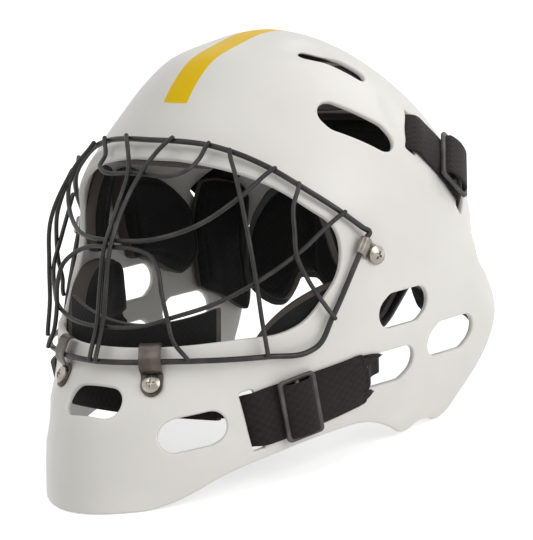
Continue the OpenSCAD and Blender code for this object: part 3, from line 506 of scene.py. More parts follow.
def makeShell():
    # The dome between its outlines, triangulated flat: an outer and an inner face, joined by a
    # rounded lip round every opening
    loops = allLoops()
    step = shellMesh["step"]
    fill = fillPoints(step)
    flatLoops = [flatten(loop) for loop in loops]
    border, flatFill = np.vstack(loops), flatten(fill)
    keep = insideSheet(flatFill, flatLoops) & (nearestDistance(fill, border) > step * shellMesh["clear"])
    flat = np.vstack(flatLoops + [flatFill[keep]])
    spots = np.vstack([border, fill[keep]])
    edges, at = [], 0
    for loop in loops:
        edges += [(at + i, at + (i + 1) % len(loop)) for i in range(len(loop))]
        at += len(loop)
    out = geometry.delaunay_2d_cdt([Vector(p) for p in flat.tolist()], edges, [], 0, 1e-7)
    source = np.array([o[0] for o in out[3]])
    tris = np.array(out[2])
    middle = np.array([v[:] for v in out[0]])[tris].mean(1)
    tris = source[tris[insideSheet(middle, flatLoops)]]
    u, a = place(spots)
    base, normal = skin(u, a), outward(u, a)
    facing = np.cross(base[tris[:, 1]] - base[tris[:, 0]], base[tris[:, 2]] - base[tris[:, 0]])
    turned = (facing * normal[tris[:, 0]]).sum(1) < 0
    tris[turned] = tris[turned][:, ::-1]
    outer = base + shellRelief(base, loops)[:, None] * normal
    inner = base - wall * normal
    verts, faces = [outer, inner], [tris, tris[:, ::-1] + len(outer)]
    total, at = 2 * len(outer), 0
    arc = np.linspace(0, np.pi / 2, shellMesh["lipRows"])
    for number, loop in enumerate(loops):
        ids = np.arange(at, at + len(loop))
        at += len(loop)
        p, n, lowest = outer[ids], normal[ids], inner[ids]
        side = unit(np.cross(unit(np.roll(p, -1, 0) - np.roll(p, 1, 0)), n))
        # The lip leans towards the middle of its hole, and down at the lower edge
        inwards = side[:, 2].sum() < 0 if number == 0 else ((p.mean(0) - p) * side).sum() > 0
        side = side if inwards else -side
        rows = [p + lip * (np.sin(t) * side - (1 - np.cos(t)) * n) for t in arc[1:]]
        rows += [lowest + lip * (np.sin(t) * side + (1 - np.cos(t)) * n) for t in arc[:0:-1]]
        k, m = len(rows), len(loop)
        between = (total + np.arange(k * m)).reshape(k, m)
        rim = quadFaces(np.vstack([ids, between, ids + len(outer)]), 0, 1)
        rim = np.vstack([rim[:, [0, 1, 2]], rim[:, [0, 2, 3]]])
        verts.append(np.vstack(rows))
        faces.append(rim[:, ::-1] if inwards else rim)
        total += k * m
    obj = meshFrom("shell_moulding", np.vstack(verts), [np.vstack(faces)])
    markPoints(obj, "outerFace", np.arange(total) < len(outer))
    return dress(obj, "helmet", "shell", "shell")


print("shell", len(makeShell().data.vertices), "points")


# Cage. Its edge wire is a line of places, and each other wire a list of places and the layer there:
# -1 inner, 1 outer, 2 over the edge wire.
cage = {"ringWidth": 3.2, "wireWidth": 2.6, "pairGap": 4.4, "weldGap": 0.15, "core": [0, 20, 150],
        "tilt": 0.35, "sides": 14, "trim": 2.6, "perSpan": 9, "dome": [0.0, 0.35, 0.7, 0.92],
        "domeReach": 0.9, "domeLeast": 0.02, "endClear": 0.4}
cb = cage["pairGap"] / 2
edgeHalf = [[0, -66, 213], [16, -65, 213], [38, -59, 211], [50, -55, 208], [72, -44, 198],
            [84, -37, 190], [101, -18.5, 174], [107.5, -7.5, 165], [109.4, -4.4, 162.5],
            [108.9, -6.4, 159.5], [107.5, -10.5, 151], [101, -27, 115.5], [97, -35, 100],
            [95, -39, 97.5], [82, -60.5, 95.3], [52, -92, 93.3], [40, -99.6, 92.8], [25.5, -107, 92],
            [cb, -112, 91.3], [0, -112.3, 91.3]]
wires = {
    "centre": [[18.5, -62.5, 215.5, 2], [16, -65, 213, 2], [5, -78, 194.8, 1], [cb, -90, 176, 1],
               [cb, -99, 158.5, 1], [cb, -100.6, 154.8, 1], [cb, -105, 130, 1], [cb, -107.5, 110.5, 1],
               [cb, -112, 91.3, 2], [cb, -112.5, 88.5, 2]],
    "brow": [[39.3, -57, 213.5, 2], [38, -59, 211, 2], [36, -66, 204, -1], [33, -74, 197.5, -1],
             [28, -77, 195.2, -1], [5, -78, 194.8, -1], [0, -78, 194.8, -1]],
    "upper": [[74, -41.8, 199.8, 2], [72, -44, 198, 2], [66, -65, 184, -1], [48, -82, 168, -1],
              [26, -95, 160, -1], [cb, -99, 158.5, -1], [0, -99, 158.5, -1]],
    "cheek": [[53.3, -91, 91, 2], [52, -92, 93.3, 2], [45, -96, 103, 1.5], [41.5, -98, 117, 1],
              [39, -100, 131, 1], [36, -100, 143, 0], [28, -98, 151, -1], [18, -98.5, 154, -1],
              [cb, -100.6, 154.8, -1], [0, -100.6, 154.8, -1]],
    "lower": [[102.4, -16.4, 175.6, 2], [101, -18.5, 174, 2], [90.5, -46, 151.3, -1],
              [78, -65.5, 137, -1], [62, -81.5, 125.5, -1], [41.5, -98, 117, -1], [30, -102, 113, -1],
              [14, -106, 110.8, -1], [cb, -107.5, 110.5, -1], [0, -107.5, 110.5, -1]],
    "temple": [[83, -35.8, 192.4, 2], [84, -37, 190, 2], [86.5, -44, 178, 1], [89.5, -46.5, 164, 1],
               [90.5, -46, 151.3, 1], [94, -41, 138, 1], [98, -33, 125, 1], [101, -27, 115.5, 2],
               [101.8, -25, 113.2, 2]],
    "side": [[49, -53.8, 210.4, 2], [50, -55, 208, 2], [60, -62, 195, 1], [66, -65, 184, 1],
             [74, -68, 164, 1], [78, -65.5, 137, 1], [80, -63, 115, 1], [82, -60.5, 95.3, 2],
             [82.3, -60.3, 92.7, 2]]}


def cageOut(p):
    # Way out of the cage: level from its core, and tilted up towards the brow
    v = np.asarray(p, float) - np.array(cage["core"], float)
    return unit(v * np.array([1, 1, 0]) - cage["tilt"] * v[..., 1:2] * np.array([0, 0, 1.0]))


def wirePlaces(w):
    # Places lifted off the cage's surface by half a wire for each layer
    layer = (cage["wireWidth"] + cage["weldGap"]) / 2
    over = (cage["ringWidth"] + cage["wireWidth"]) / 2 + cage["weldGap"]
    lift = np.where(w[:, 3] == 2, over, w[:, 3] * layer)
    return w[:, :3] + lift[:, None] * cageOut(w[:, :3])


def trimmed(path, cut):
    # The same line with a length cut from both of its ends
    s = distances(path)
    clear = cut + cage["endClear"]
    return readLine(np.concatenate([[cut], s[(s > clear) & (s < s[-1] - clear)], [s[-1] - cut]]), s, path)


def tubeRings(path, tangent, radius):
    # Round rings square to a path's tangents
    out = cageOut(path)
    a = unit(out - (out * tangent).sum(1, keepdims=True) * tangent)
    b = np.cross(tangent, a)
    c, s = circlePoints(cage["sides"]).T[:, None, :, None]
    return path[:, None] + np.asarray(radius)[..., None, None] * (c * a[:, None] + s * b[:, None])


def makeWire(name, node, lists):
    # Round wires with domed ends, several in one piece
    r, dome = cage["wireWidth"] / 2, np.array(cage["dome"])
    past = r * cage["domeReach"] * (1 - dome[:, None])
    narrow = np.sqrt(1 - (1 - dome) ** 2 + cage["domeLeast"])
    verts, quads, tris, at = [], [], [], 0
    for w in lists:
        path = trimmed(smoothRun(wirePlaces(w), cage["perSpan"]), cage["trim"])
        line = np.vstack([path[0] - unit(path[1] - path[0]) * past, path,
                          path[-1] + unit(path[-1] - path[-2]) * past[::-1]])
        radius = np.concatenate([narrow, np.ones(len(path)), narrow[::-1]]) * r
        rings = tubeRings(line, unit(np.gradient(line, axis=0)), radius)
        points, skinQuads, ends = capped(rings, line[[0, -1]])
        verts.append(points)
        quads.append(skinQuads + at)
        tris.append(ends + at)
        at += len(points)
    obj = meshFrom(name, np.vstack(verts), [np.vstack(quads), np.vstack(tris)])
    dress(obj, "helmet", node, "cage_wire")


def makeRing():
    # The wire round the edge, closed on itself
    half = smoothRun(edgeHalf, cage["perSpan"])
    path = np.vstack([half, flipX(half[1:-1][::-1])])
    rings = tubeRings(path, unit(np.roll(path, -1, 0) - np.roll(path, 1, 0)), cage["ringWidth"] / 2)
    obj = meshFrom("cage_edge_wire", rings.reshape(-1, 3), [gridFaces(*rings.shape[:2], 1, 1)])
    dress(obj, "helmet", "cage_ring", "cage_wire")


makeRing()
wires = {kind: np.array(w, float) for kind, w in wires.items()}
otherSide = np.array([-1, 1, 1, 1])
makeWire("centre_wires", "centre_bars", [wires["centre"], wires["centre"] * otherSide])
for kind in ("brow", "upper", "cheek", "lower"):
    makeWire(kind + "_wire", kind + "_bar", [np.vstack([wires[kind][:-1], wires[kind][::-1] * otherSide])])
for kind in ("side", "temple"):
    for label, side in sides:
        makeWire(kind + "_wire" + label, kind + "_bar" + label, [wires[kind] * [side, 1, 1, 1]])
print("cage made")


# Webbing: each station of a band is a distance from its slot, a lift and a width
inside = -(wall + straps["thick"] + 0.5)
run = {kind: float(np.linalg.norm(span(kind))) for kind in ("chin", "back", "crown")}
gap, cw, bw = straps["gap"], straps["chin"]["width"], straps["back"]["width"]
stations = {
    "chin": [[-13, inside, cw * 0.94], [-4, inside, cw * 0.97], [3.5, gap, cw * 0.98], [9, gap, cw],
             [30, gap, cw], [52, gap, cw], [run["chin"] - 8, gap, cw], [run["chin"] - 3, gap, cw],
             [run["chin"] - 1, gap, 20], [run["chin"] + 2, gap, 12], [run["chin"] + 9, inside, 12],
             [run["chin"] + 17, inside - 0.3, 12]],
    "back": [[-14, inside, bw], [-4, inside, bw], [3.5, gap, bw], [12, gap, bw], [26, gap, bw],
             [40, gap, bw], [run["back"] - 3.5, gap, bw], [run["back"] + 4, inside, bw],
             [run["back"] + 12, inside, bw]],
    "crown": [[-12, inside, 34], [-2, inside, 34], [3.5, gap, 34], [12, gap, 34], [24, gap, 34],
              [run["crown"] - 2, gap, 34], [run["crown"] + 4, inside, 34], [run["crown"] + 12, inside, 34]]}
horns = {"upper": 19.0, "lower": 10.0, "at": run["chin"] - 2.9, "width": 7.0, "middle": 0.7,
         "spread": 0.2, "corner": 4.0, "cornerFrom": 0.75}


def dip(x, at, width):
    # Bell curve, 1 at its place: e^-((x - at) / width)^2
    return np.exp(-((x - at) / width) ** 2)


def clothUv(off, s):
    # Distances across and along a band, in metres, and those of its two tips
    uv = np.stack([off, np.broadcast_to(s[:, None], off.shape)], -1).reshape(-1, 2) / 1000
    return np.vstack([uv, uv[:1], uv[-1:]])


def strapBand(kind, label, side):
    # Woven band laid on the outer face: a flat oval section, each of its points put on the face and
    # lifted. Two horns at the chin band's end reach further than its middle.
    way = unit(span(kind))
    line = resample(smoothRun(stations[kind], 6), 1.6)
    s, half, r = line[:, :1], line[:, 2:] / 2, straps["thick"] / 2
    centre = np.array(straps[kind]["start"], float) + s * way
    across = unit(np.cross(normalAt(centre), way))
    x, xr, z = ovalSection(13, 7)
    off = x * (half - r) + xr * r
    spots = centre[:, None] + off[..., None] * across[:, None]
    if kind == "chin":
        past = np.where(x > 0, horns["upper"], horns["lower"])
        past = past * dip(np.abs(x), horns["middle"], horns["spread"])
        past = past - horns["corner"] * smoothStep(np.abs(x), horns["cornerFrom"], 1.0)
        reach = dip(s, horns["at"], horns["width"]) * (s <= horns["at"]) * past
        spots = spots + reach[..., None] * way
    lift = line[:, 1:2] + (z + 1) * r
    p = onSkin(spots.reshape(-1, 3), lift.ravel()).reshape(spots.shape)
    points, quads, tris = capped(flipX(p) if side < 0 else p)
    obj = meshFrom(kind + "_webbing" + label, points, [quads, tris], clothUv(off, line[:, 0]))
    dress(obj, "helmet", kind + "_strap" + label, "webbing")


for label, side in sides:
    strapBand("chin", label, side)
    strapBand("back", label, side)
strapBand("crown", "", 1.0)
print("webbing made")


# Sliders and the folds of webbing over them, in axes on the outer face: x along the strap, z out
sliders = {"length": 24, "bar": 2.6, "thick": 2.4, "over": 2.4, "gap": 0.8, "chinAt": 28, "backAt": 33,
           "corner": 2.6, "holeCorner": 1.0, "holeGap": 0.4, "edge": 0.55, "barPast": 0.8, "barThick": 0.94,
           "squareness": 0.55, "foldClear": 0.3, "foldRise": 2.2, "foldRound": 0.8, "foldDraw": 0.98,
           "foldTuck": 0.9, "tuckFrom": 0.86}


def sliderFrame(kind):
    # Origin and axes: x along the strap, z off the face, y = z cross x
    way = unit(span(kind))
    p = np.array(straps[kind]["start"], float) + sliders[kind + "At"] * way
    z = squareTo(way, p)
    return onSkin(p, straps["gap"] + straps["thick"] + sliders["gap"]), way, np.cross(z, way), z


def local(axes, p, side):
    # Origin plus x, y and z along the axes, mirrored for the right side
    o, x, y, z = axes
    q = o + p[..., :1] * x + p[..., 1:2] * y + p[..., 2:] * z
    return flipX(q) if side < 0 else q


def roundedLoop(length, width, r, count):
    # Rounded rectangle, points at even steps
    way = circlePoints(720)
    loop = np.sign(way) * (np.array([length, width]) / 2 - r) + r * way
    return resample(loop, (2 * (length + width) - 8 * r + 2 * np.pi * r) / count, True)


def barLoop(outer, inner, thick):
    # A flat frame between two rounded rectangles (length, width, corner), its edges rounded over
    count, r = 96, sliders["edge"]
    want = -np.pi + 2 * np.pi * np.linspace(0, 1, count + 1)[:-1]
    turn = np.linspace(0, np.pi / 2, 4)
    rows = []
    for (l, w, corner), grow in ((outer, -1), (inner, 1)):
        for up in (False, True):
            for f in turn[::-1] if up else turn:
                g, z = grow * r * (1 - math.sin(f)), r * (1 - math.cos(f))
                p = roundedLoop(l + 2 * g, w + 2 * g, max(corner + g, 0.3), 400)
                angle = np.arctan2(p[:, 1] / (w + 2 * g), p[:, 0] / (l + 2 * g))
                height = z if up == (grow > 0) else thick - z
                rows.append(np.insert(readLine(want, angle, p, 2 * np.pi), 2, height, 1))
    return np.vstack(rows), gridFaces(len(rows), count, 1, 1)


def makeSlider(name, body, axes, width, side):
    # The frame and its middle bar, whose section is a superellipse
    t, bar = sliders["thick"], sliders["bar"]
    frameSize = (sliders["length"], width + 2 * sliders["over"], sliders["corner"])
    hole = (sliders["length"] - 2 * bar, width + sliders["holeGap"], sliders["holeCorner"])
    points, quads = barLoop(frameSize, hole, t)
    section = signedPower(circlePoints(24), sliders["squareness"])
    section = section * np.array([bar, t * sliders["barThick"]]) / 2
    end = width / 2 + sliders["barPast"]
    line = np.stack([np.zeros(7), np.linspace(0, 1, 7) * 2 * end - end, np.full(7, t / 2)], 1)
    rings = line[:, None] + np.stack([section[:, 0], 0 * section[:, 0], section[:, 1]], 1)
    barPoints, barQuads, ends = capped(rings, line[[0, -1]])
    at = len(points)
    points = local(axes, np.vstack([points, barPoints]), side)
    dress(meshFrom(name, points, [quads, barQuads + at, ends + at]), body, body, "sliders")


def ribbon(line, widths, r):
    # Band bent along a line in the x-z plane: an oval section, as wide as widths says
    tangent = unit(np.gradient(line, axis=0))
    up = np.stack([-tangent[:, 1], tangent[:, 0]], 1)
    y, yr, z = ovalSection(9, 6)
    off = y * np.maximum(widths / 2 - r, 0.05)[:, None] + yr * r
    xz = line[:, None] + (z * r)[:, None] * up[:, None]
    return capped(np.stack([xz[..., 0], off, xz[..., 1]], -1))


def makeFold(name, node, body, axes, width, side):
    # Webbing bulging over the middle bar, tucked down behind the end bars
    reach = (sliders["length"] - 2 * sliders["bar"] - 2 * sliders["foldClear"]) / 2
    s, r = np.linspace(-1, 1, 41), straps["thick"] / 2
    rise = sliders["foldRise"] * np.cos(s * np.pi / 2) ** sliders["foldRound"]
    rise = sliders["thick"] + sliders["foldClear"] + rise
    tuck = sliders["thick"] * sliders["foldTuck"] * smoothStep(np.abs(s), sliders["tuckFrom"], 1.0)
    line = np.stack([s * reach * sliders["foldDraw"], rise - tuck + r], 1)
    points, quads, tris = ribbon(line, np.full(len(s), float(width)), r)
    uv = clothUv(points[:-2, 1].reshape(len(s), -1), s * reach)
    dress(meshFrom(name, local(axes, points, side), [quads, tris], uv), body, node, "webbing")


for label, side in sides:
    for kind in ("chin", "back"):
        body, axes, width = kind + "_slider" + label, sliderFrame(kind), straps[kind]["width"]
        makeSlider(kind + "_triglide" + label, body, axes, width, side)
        makeFold(kind + "_loop" + label, kind + "_fold" + label, body, axes, width, side)
print("sliders made")


# Clips over the edge wire. A grip is a seat on the shell and two places of the edge wire. The lip of
# the chin clips gives x and z, each as a share of the hook's radius and a length.
clips = {"thick": 1.2, "hookIn": 1.9, "seatGap": 0.5, "reach": 7, "run": 5, "curl": (-80, 235, 24.0),
         "lip": [[-1, -1.6, 0.35, -0.6], [-0.75, 0, 0.72, 0], [0, 0, 1, 0], [0, 4.5, 1, 0.1],
                 [0, 8.6, 1, -0.2], [0, 9.9, 1, -1.2], [0, 10.4, 1, -3]],
         "side": {"width": 10, "grip": [[105.8, 4.3, 149.4], [108.9, -6.4, 159.5], [107.5, -10.5, 151]]},
         "chin": {"width": 13, "grip": [[33.5, -103.5, 79.5], [40, -99.6, 92.8], [25.5, -107, 92]]}}


def gripAxes(grip):
    # Origin where the edge wire is nearest the seat: y along the wire, z off the face, x = y cross z
    g = np.array(grip, float)
    t = unit(g[2] - g[1])
    z = squareTo(t, g[0])
    return g[1] + ((onSkin(g[0]) - g[1]) @ t) * t, np.cross(t, z), t, z


def makeClip(kind, label, side):
    # From a round end over the screw the plate runs to the edge wire and hooks round it
    grip, width, r = clips[kind]["grip"], clips[kind]["width"], clips["thick"] / 2
    axes = gripAxes(grip)
    there = onSkin(np.array(grip[0], float)) - axes[0]
    screw, seat = there @ axes[1], there @ axes[3] + clips["seatGap"] + r
    middle, far = clips["hookIn"] + r, screw - clips["reach"]
    hook = np.array(clips["lip"])
    hook = hook[:, ::2] * middle + hook[:, 1::2]
    if kind == "side":
        turn = np.radians(np.arange(*clips["curl"]))
        hook = np.stack([middle * np.sin(turn), -middle * np.cos(turn)], 1)
    start = [[far, seat], [screw, seat], [screw + clips["run"], seat]]
    line = resample(smoothRun(np.vstack([start, hook]), 10), 0.45)
    fromEnd = (line[:, 0] - far) / (width / 2)
    rounding = np.sqrt(np.clip(1 - (1 - np.clip(fromEnd, 0, 1)) ** 2, 0.02, 1))
    points, quads, tris = ribbon(line, width * np.where(fromEnd < 1, rounding, 1), r)
    name = kind + "_clip" + label
    obj = meshFrom(name + "_plate", local(axes, points, side), [quads, tris])
    dress(obj, "helmet", name, kind + "_clip")


for kind in ("side", "chin"):
    for label, side in sides:
        makeClip(kind, label, side)
print("clips made")


# Padding: eight places make a patch, and a band of cut foam joins its two faces
padLook = {"seat": 0.7, "least": 0.55, "stitchIn": 6.0, "stitchWidth": 0.9, "stitchDepth": 0.9,
           "channelDepth": 0.26, "channelWidth": 0.045, "rowWidth": 0.06, "fade": 1.6, "ripple": 0.35,
           "edge": 1.0, "round": 0.6, "fill": 0.8, "crowding": 1.25, "cornerPull": 0.07, "channels": [],
           "rows": []}


def unitGrid(low, rows, cols):
    # Even values down from low to 1 and across from -1 to 1
    return np.meshgrid(np.linspace(low, 1, rows + 1), np.linspace(-1, 1, cols + 1), indexing="ij")


def patch(corners, halves, rows, cols):
    # Eight-place patch over x and y from -1 to 1: four corners and the places half-way between them.
    # Its lines crowd towards the outline, and the square is drawn in a little at its corners.
    Y, X = unitGrid(-1, rows, cols)
    X, Y = [np.sign(v) * (1 - (1 - np.abs(v)) ** padLook["crowding"]) for v in (X, Y)]
    x, y = X * (1 - padLook["cornerPull"] * Y ** 4), Y * (1 - padLook["cornerPull"] * X ** 4)
    w = [(1 - x) * (1 - y) * (-x - y - 1) / 4, (1 + x) * (1 - y) * (x - y - 1) / 4,
         (1 + x) * (1 + y) * (x + y - 1) / 4, (1 - x) * (1 + y) * (y - x - 1) / 4,
         (1 - x * x) * (1 - y) / 2, (1 + x) * (1 - y * y) / 2,
         (1 - x * x) * (1 + y) / 2, (1 - x) * (1 - y * y) / 2]
    return sum(v[..., None] * q for v, q in zip(w, list(corners) + list(halves))), X, Y


def upholster(name, base, out, high, bulge, uv, body, node, slotName):
    # Closed piece from a grid of places to a height over them: a half-round band of width bulge runs
    # round its outline. The attribute cutEdge is 1 on the band and 0 on both faces.
    bands, (rows, cols) = 6, base.shape[:2]
    k = np.arange(rows * cols).reshape(rows, cols)
    ring = np.concatenate([k[0, :-1], k[:-1, -1], k[-1, :0:-1], k[:0:-1, 0]])
    inner = np.clip(ring // cols, 1, rows - 2) * cols + np.clip(ring % cols, 1, cols - 2)
    top, under = (base + high[..., None] * out).reshape(-1, 3), base.reshape(-1, 3)
    n = np.broadcast_to(out, base.shape).reshape(-1, 3)[ring]
    away = top[ring] - top[inner]
    away = unit(away - (away * n).sum(1)[:, None] * n)
    band = [0.5 * (top[ring] + under[ring]) + 0.5 * np.cos(t) * (top[ring] - under[ring])
            + bulge * np.sin(t) ** padLook["round"] * away for t in np.linspace(0, np.pi, bands + 2)[1:-1]]
    m, count = len(ring), rows * cols
    between = 2 * count + np.arange(bands * m).reshape(bands, m)
    cut = quadFaces(np.vstack([ring, between, ring + count]), 0, 1)[:, [0, 3, 2, 1]]
    face = gridFaces(rows, cols, 0, 0)
    uv = uv.reshape(-1, 2)
    obj = meshFrom(name, np.vstack([top, under] + band), [face, face[:, ::-1] + count, cut],
                   np.vstack([uv, uv] + [uv[ring]] * bands))
    markPoints(obj, "cutEdge", np.arange(2 * count + bands * m) >= 2 * count)
    dress(obj, body, node, slotName)


def crowned(X, Y, spec, power):
    # Height of a face, full in the middle, with a line sewn inside its outline. The crown runs from 1
    # in the middle to 0 at the outline.
    crown = np.sqrt(np.clip((1 - X ** 6) * (1 - Y ** power), 0, 1))
    away = np.minimum((1 - np.abs(X)) * spec["across"] / 2, (1 - np.abs(Y)) * spec["down"] / 2)
    high = spec["thick"] * (spec["least"] + (1 - spec["least"]) * crown)
    return high - spec["stitchDepth"] * dip(away, spec["stitchIn"], padLook["stitchWidth"]), crown


def padHeight(X, Y, spec):
    # Crowned height with sewn channels both ways and a slight ripple
    high, crown = crowned(X, Y, spec, 6)
    depth = spec["channelDepth"] * spec["thick"]
    for v, lines, width in ((X, "channels", "channelWidth"), (Y, "rows", "rowWidth")):
        for k in spec[lines]:
            high = high - depth * dip(v, k, spec[width]) * np.clip(spec["fade"] * crown, 0, 1)
    return high + np.sin(7 * X + 3 * Y) * np.sin(5 * Y - 2 * X) * spec["ripple"] * crown


pads = {
    "brow": {"corners": [[-72, -26, 226], [72, -26, 226], [84, -27, 203], [-84, -27, 203]], "thick": 12,
             "sides": [("", 1.0)], "channels": [-0.55, 0.55]},
    "nape": {"corners": [[72, 108, 222], [-72, 108, 222], [-86, 114, 184], [86, 114, 184]], "thick": 12,
             "halves": [[0, 128, 222], [-80, 112, 204], [0, 139, 191], [80, 112, 204]], "rear": True,
             "sides": [("", 1.0)], "channels": [-0.4, 0.4]},
    "crown": {"corners": [[14, -22, 257], [14, 92, 257], [60, 90, 236], [60, -14, 236]], "thick": 12,
              "channels": [0.0]},
    "temple": {"corners": [[84, -29, 194], [92, -12, 196], [103, -4, 140], [103, -13, 140]], "thick": 11},
    "ear": {"corners": [[97, 8, 189], [93, 38, 187], [103, 66, 118], [104, 28, 133]], "thick": 14,
            "halves": [[95, 24, 190], [97, 75, 153], [104, 47, 130], [104, 16, 160]]},
    "cheek": {"corners": [[101, -19, 134], [104, 6, 134], [98, -2, 64], [80, -52, 64]], "thick": 18,
              "halves": [[103, -6, 135], [104, 7, 103], [92, -28, 61], [84, -71, 100]], "rows": [0.1]},
    "wing": {"corners": [[98, 84, 180], [87, 114, 177], [95, 124, 88], [103, 84, 108]], "thick": 7,
             "halves": [[94, 99, 180], [92, 124, 150], [101, 106, 104], [103, 81, 153]], "seat": 3}}


def sheetPlaces(points, rear):
    # Section numbers and angles, which run on past half a turn at the rear
    u, a = place(np.array(points, float))
    return np.stack([u, np.where(a < 0, a + 2 * np.pi, a) if rear else a], 1)


def makePad(kind, label, side):
    # Patch of section numbers and angles under the wall, raised inwards to its crowned height
    spec = {**padLook, **pads[kind]}
    c = sheetPlaces(spec["corners"], "rear" in spec)
    halves = [m + 0.05 * (c.mean(0) - m) for m in (0.5 * (c[i] + c[(i + 1) % 4]) for i in range(4))]
    if "halves" in spec:
        halves = sheetPlaces(spec["halves"], "rear" in spec)
    spots, X, Y = patch(c, halves, 34, 48)
    u, a = spots[..., 0], spots[..., 1]
    n = outward(u, a)
    base = skin(u, a) - (wall + spec["seat"]) * n
    across = np.linalg.norm(np.diff(base, axis=1), axis=2).sum(1).mean()
    down = np.linalg.norm(np.diff(base, axis=0), axis=2).sum(0).mean()
    high = padHeight(X, Y, {**spec, "across": across, "down": down})
    uv = np.stack([(X + 1) * across / 2000, (Y + 1) * down / 2000], -1)
    if side < 0:
        base, n = flipX(base), flipX(n)
    upholster(kind + "_cushion" + label, base, -n, high, spec["edge"], uv, "helmet",
              kind + "_pad" + label, "padding")


for kind in pads:
    for label, side in pads[kind].get("sides", sides):
        makePad(kind, label, side)
print("pads made")


# Back plate with its pad and hinge barrel, chin sling and cup
plate = {"y": 131, "top": 181, "lean": 0.02, "bend": 275, "half": 80, "thick": 2.4, "inset": 0.6,
         "edge": 0.6, "groove": 0.25, "grooveAt": 0.5, "grooveWidth": 0.05, "grooveReach": 1.2, "taper": 60,
         "low": [[0, 89], [12, 90], [18, 96], [30, 111], [36, 118], [48, 118], [53, 106], [58, 100],
                 [64, 100], [70, 103], [77, 110], [80, 118]],
         "high": [[0, 181], [42, 181], [56, 179], [67, 171], [75, 157], [80, 138]]}
backPad = {"thick": 12, "inset": 5.0, "gap": 0.3, "least": 0.45, "edge": 0.9, "across": 144, "down": 68,
           "stitchIn": 6.0, "stitchDepth": 0.8, "channels": [-0.42, 0.42], "channelDepth": 2.6,
           "channelWidth": 0.035}
barrel = {"at": [132.2, 185.0], "half": 12, "radius": 3.2, "bore": 1.58, "root": 179.5, "web": 1.2,
          "webBelow": -0.62, "webFlare": 1.9}
sling = {"half": 61.4, "y": -72.4, "z": 72, "width": 24, "sag": 12, "inset": [0.6, 0.4], "edge": 0.5}
cup = {"thick": 7.5, "half": 55.0, "low": 59.0, "high": 109.0, "rise": 12, "gap": 0.3, "least": 0.5,
       "edge": 0.9, "across": 112, "down": 54, "stitchIn": 5.0, "stitchDepth": 0.7, "channels": [0.0],
       "channelDepth": 1.8, "channelWidth": 0.03}
rear = np.array([0, 1.0, 0])


def softLine(table, x, blur=1.5):
    # Broken line through table, read at |x| and averaged over blur on both sides
    table = np.array(table, float)
    shifts = np.linspace(-blur, blur, 9)
    return np.mean([np.interp(np.abs(x + d), table[:, 0], table[:, 1]) for d in shifts], 0)


def plateGrid(inset, rows=34, cols=96):
    # Places of the plate: heights run between its lower and upper edge, further back in the middle
    S, R = unitGrid(0, rows, cols)
    x = plate["half"] * R
    low, high = softLine(plate["low"], x) + inset, softLine(plate["high"], x) - inset
    z = low + (high - low) * S
    x = x * (1 - inset / plate["taper"])
    y = plate["y"] + plate["lean"] * (plate["top"] - z) - x * x / plate["bend"]
    return np.stack([x, y, z], -1), 2 * S - 1, R


def slingGrid(half, low, high, rise, rows, cols=72):
    # Places of a sheet hung behind the chin: y = y0 - sag (1 - (x / x0)^2)
    S, R = unitGrid(0, rows, cols)
    x = half * R
    z = low + (high + rise * R * R - low) * S
    y = sling["y"] - sling["sag"] * (1 - (x / sling["half"]) ** 2)
    return np.stack([x, y, z], -1), 2 * S - 1, R


def cushionHeight(X, Y, spec):
    # Crowned height with channels sewn down it
    high, crown = crowned(X, Y, spec, 4)
    for k in spec["channels"]:
        high = high - spec["channelDepth"] * dip(X, k, spec["channelWidth"]) * crown
    return high


def makeBarrel():
    # Hollow barrel along x with a web down to the plate, a mesh of its own
    circle = circlePoints(40)
    outer, bore = barrel["radius"] * circle, barrel["bore"] * circle
    low = circle[:, 1] < barrel["webBelow"]
    outer[low, 0] = np.clip(barrel["webFlare"] * circle[low, 0], -barrel["web"], barrel["web"])
    outer[low, 1] = barrel["root"] - barrel["at"][1]
    rings = [np.insert(ring + barrel["at"], 0, x * barrel["half"], 1)
             for x, ring in ((-1, bore), (-1, outer), (1, outer), (1, bore))]
    return meshFrom("plate_barrel", np.vstack(rings), [gridFaces(len(rings), len(circle), 1, 1)])


def flatUv(base):
    return base[..., ::2] / 1000


base, Y, X = plateGrid(plate["inset"])
groove = dip(np.abs(X), plate["grooveAt"], plate["grooveWidth"])
groove = groove * np.clip(plate["grooveReach"] - np.abs(Y), 0, 1)
upholster("back_shield", base, rear, plate["thick"] - plate["groove"] * groove, plate["edge"], flatUv(base),
          "back_plate", "back_plate", "back_plate")
dress(makeBarrel(), "back_plate", None, "back_plate")
base, Y, X = plateGrid(backPad["inset"])
upholster("back_cushion", base - backPad["gap"] * rear, -rear, cushionHeight(X, Y, backPad),
          backPad["edge"], flatUv(base), "back_plate", "back_pad", "padding")
low, high = [sling["z"] + v * (sling["width"] / 2 - sling["inset"][1]) for v in (-1, 1)]
base, Y, X = slingGrid(sling["half"] - sling["inset"][0], low, high, 0, 14)
upholster("chin_hammock", base, rear, np.full(X.shape, straps["thick"]), sling["edge"], flatUv(base),
          "helmet", "chin_sling", "webbing")
base, Y, X = slingGrid(cup["half"], cup["low"], cup["high"], cup["rise"], 40)
base = base + (straps["thick"] + cup["gap"]) * rear
upholster("chin_rest_cup", base, rear, cushionHeight(X, Y, cup), cup["edge"], flatUv(base),
          "helmet", "chin_cup", "padding")
print("plate, sling and cup made")


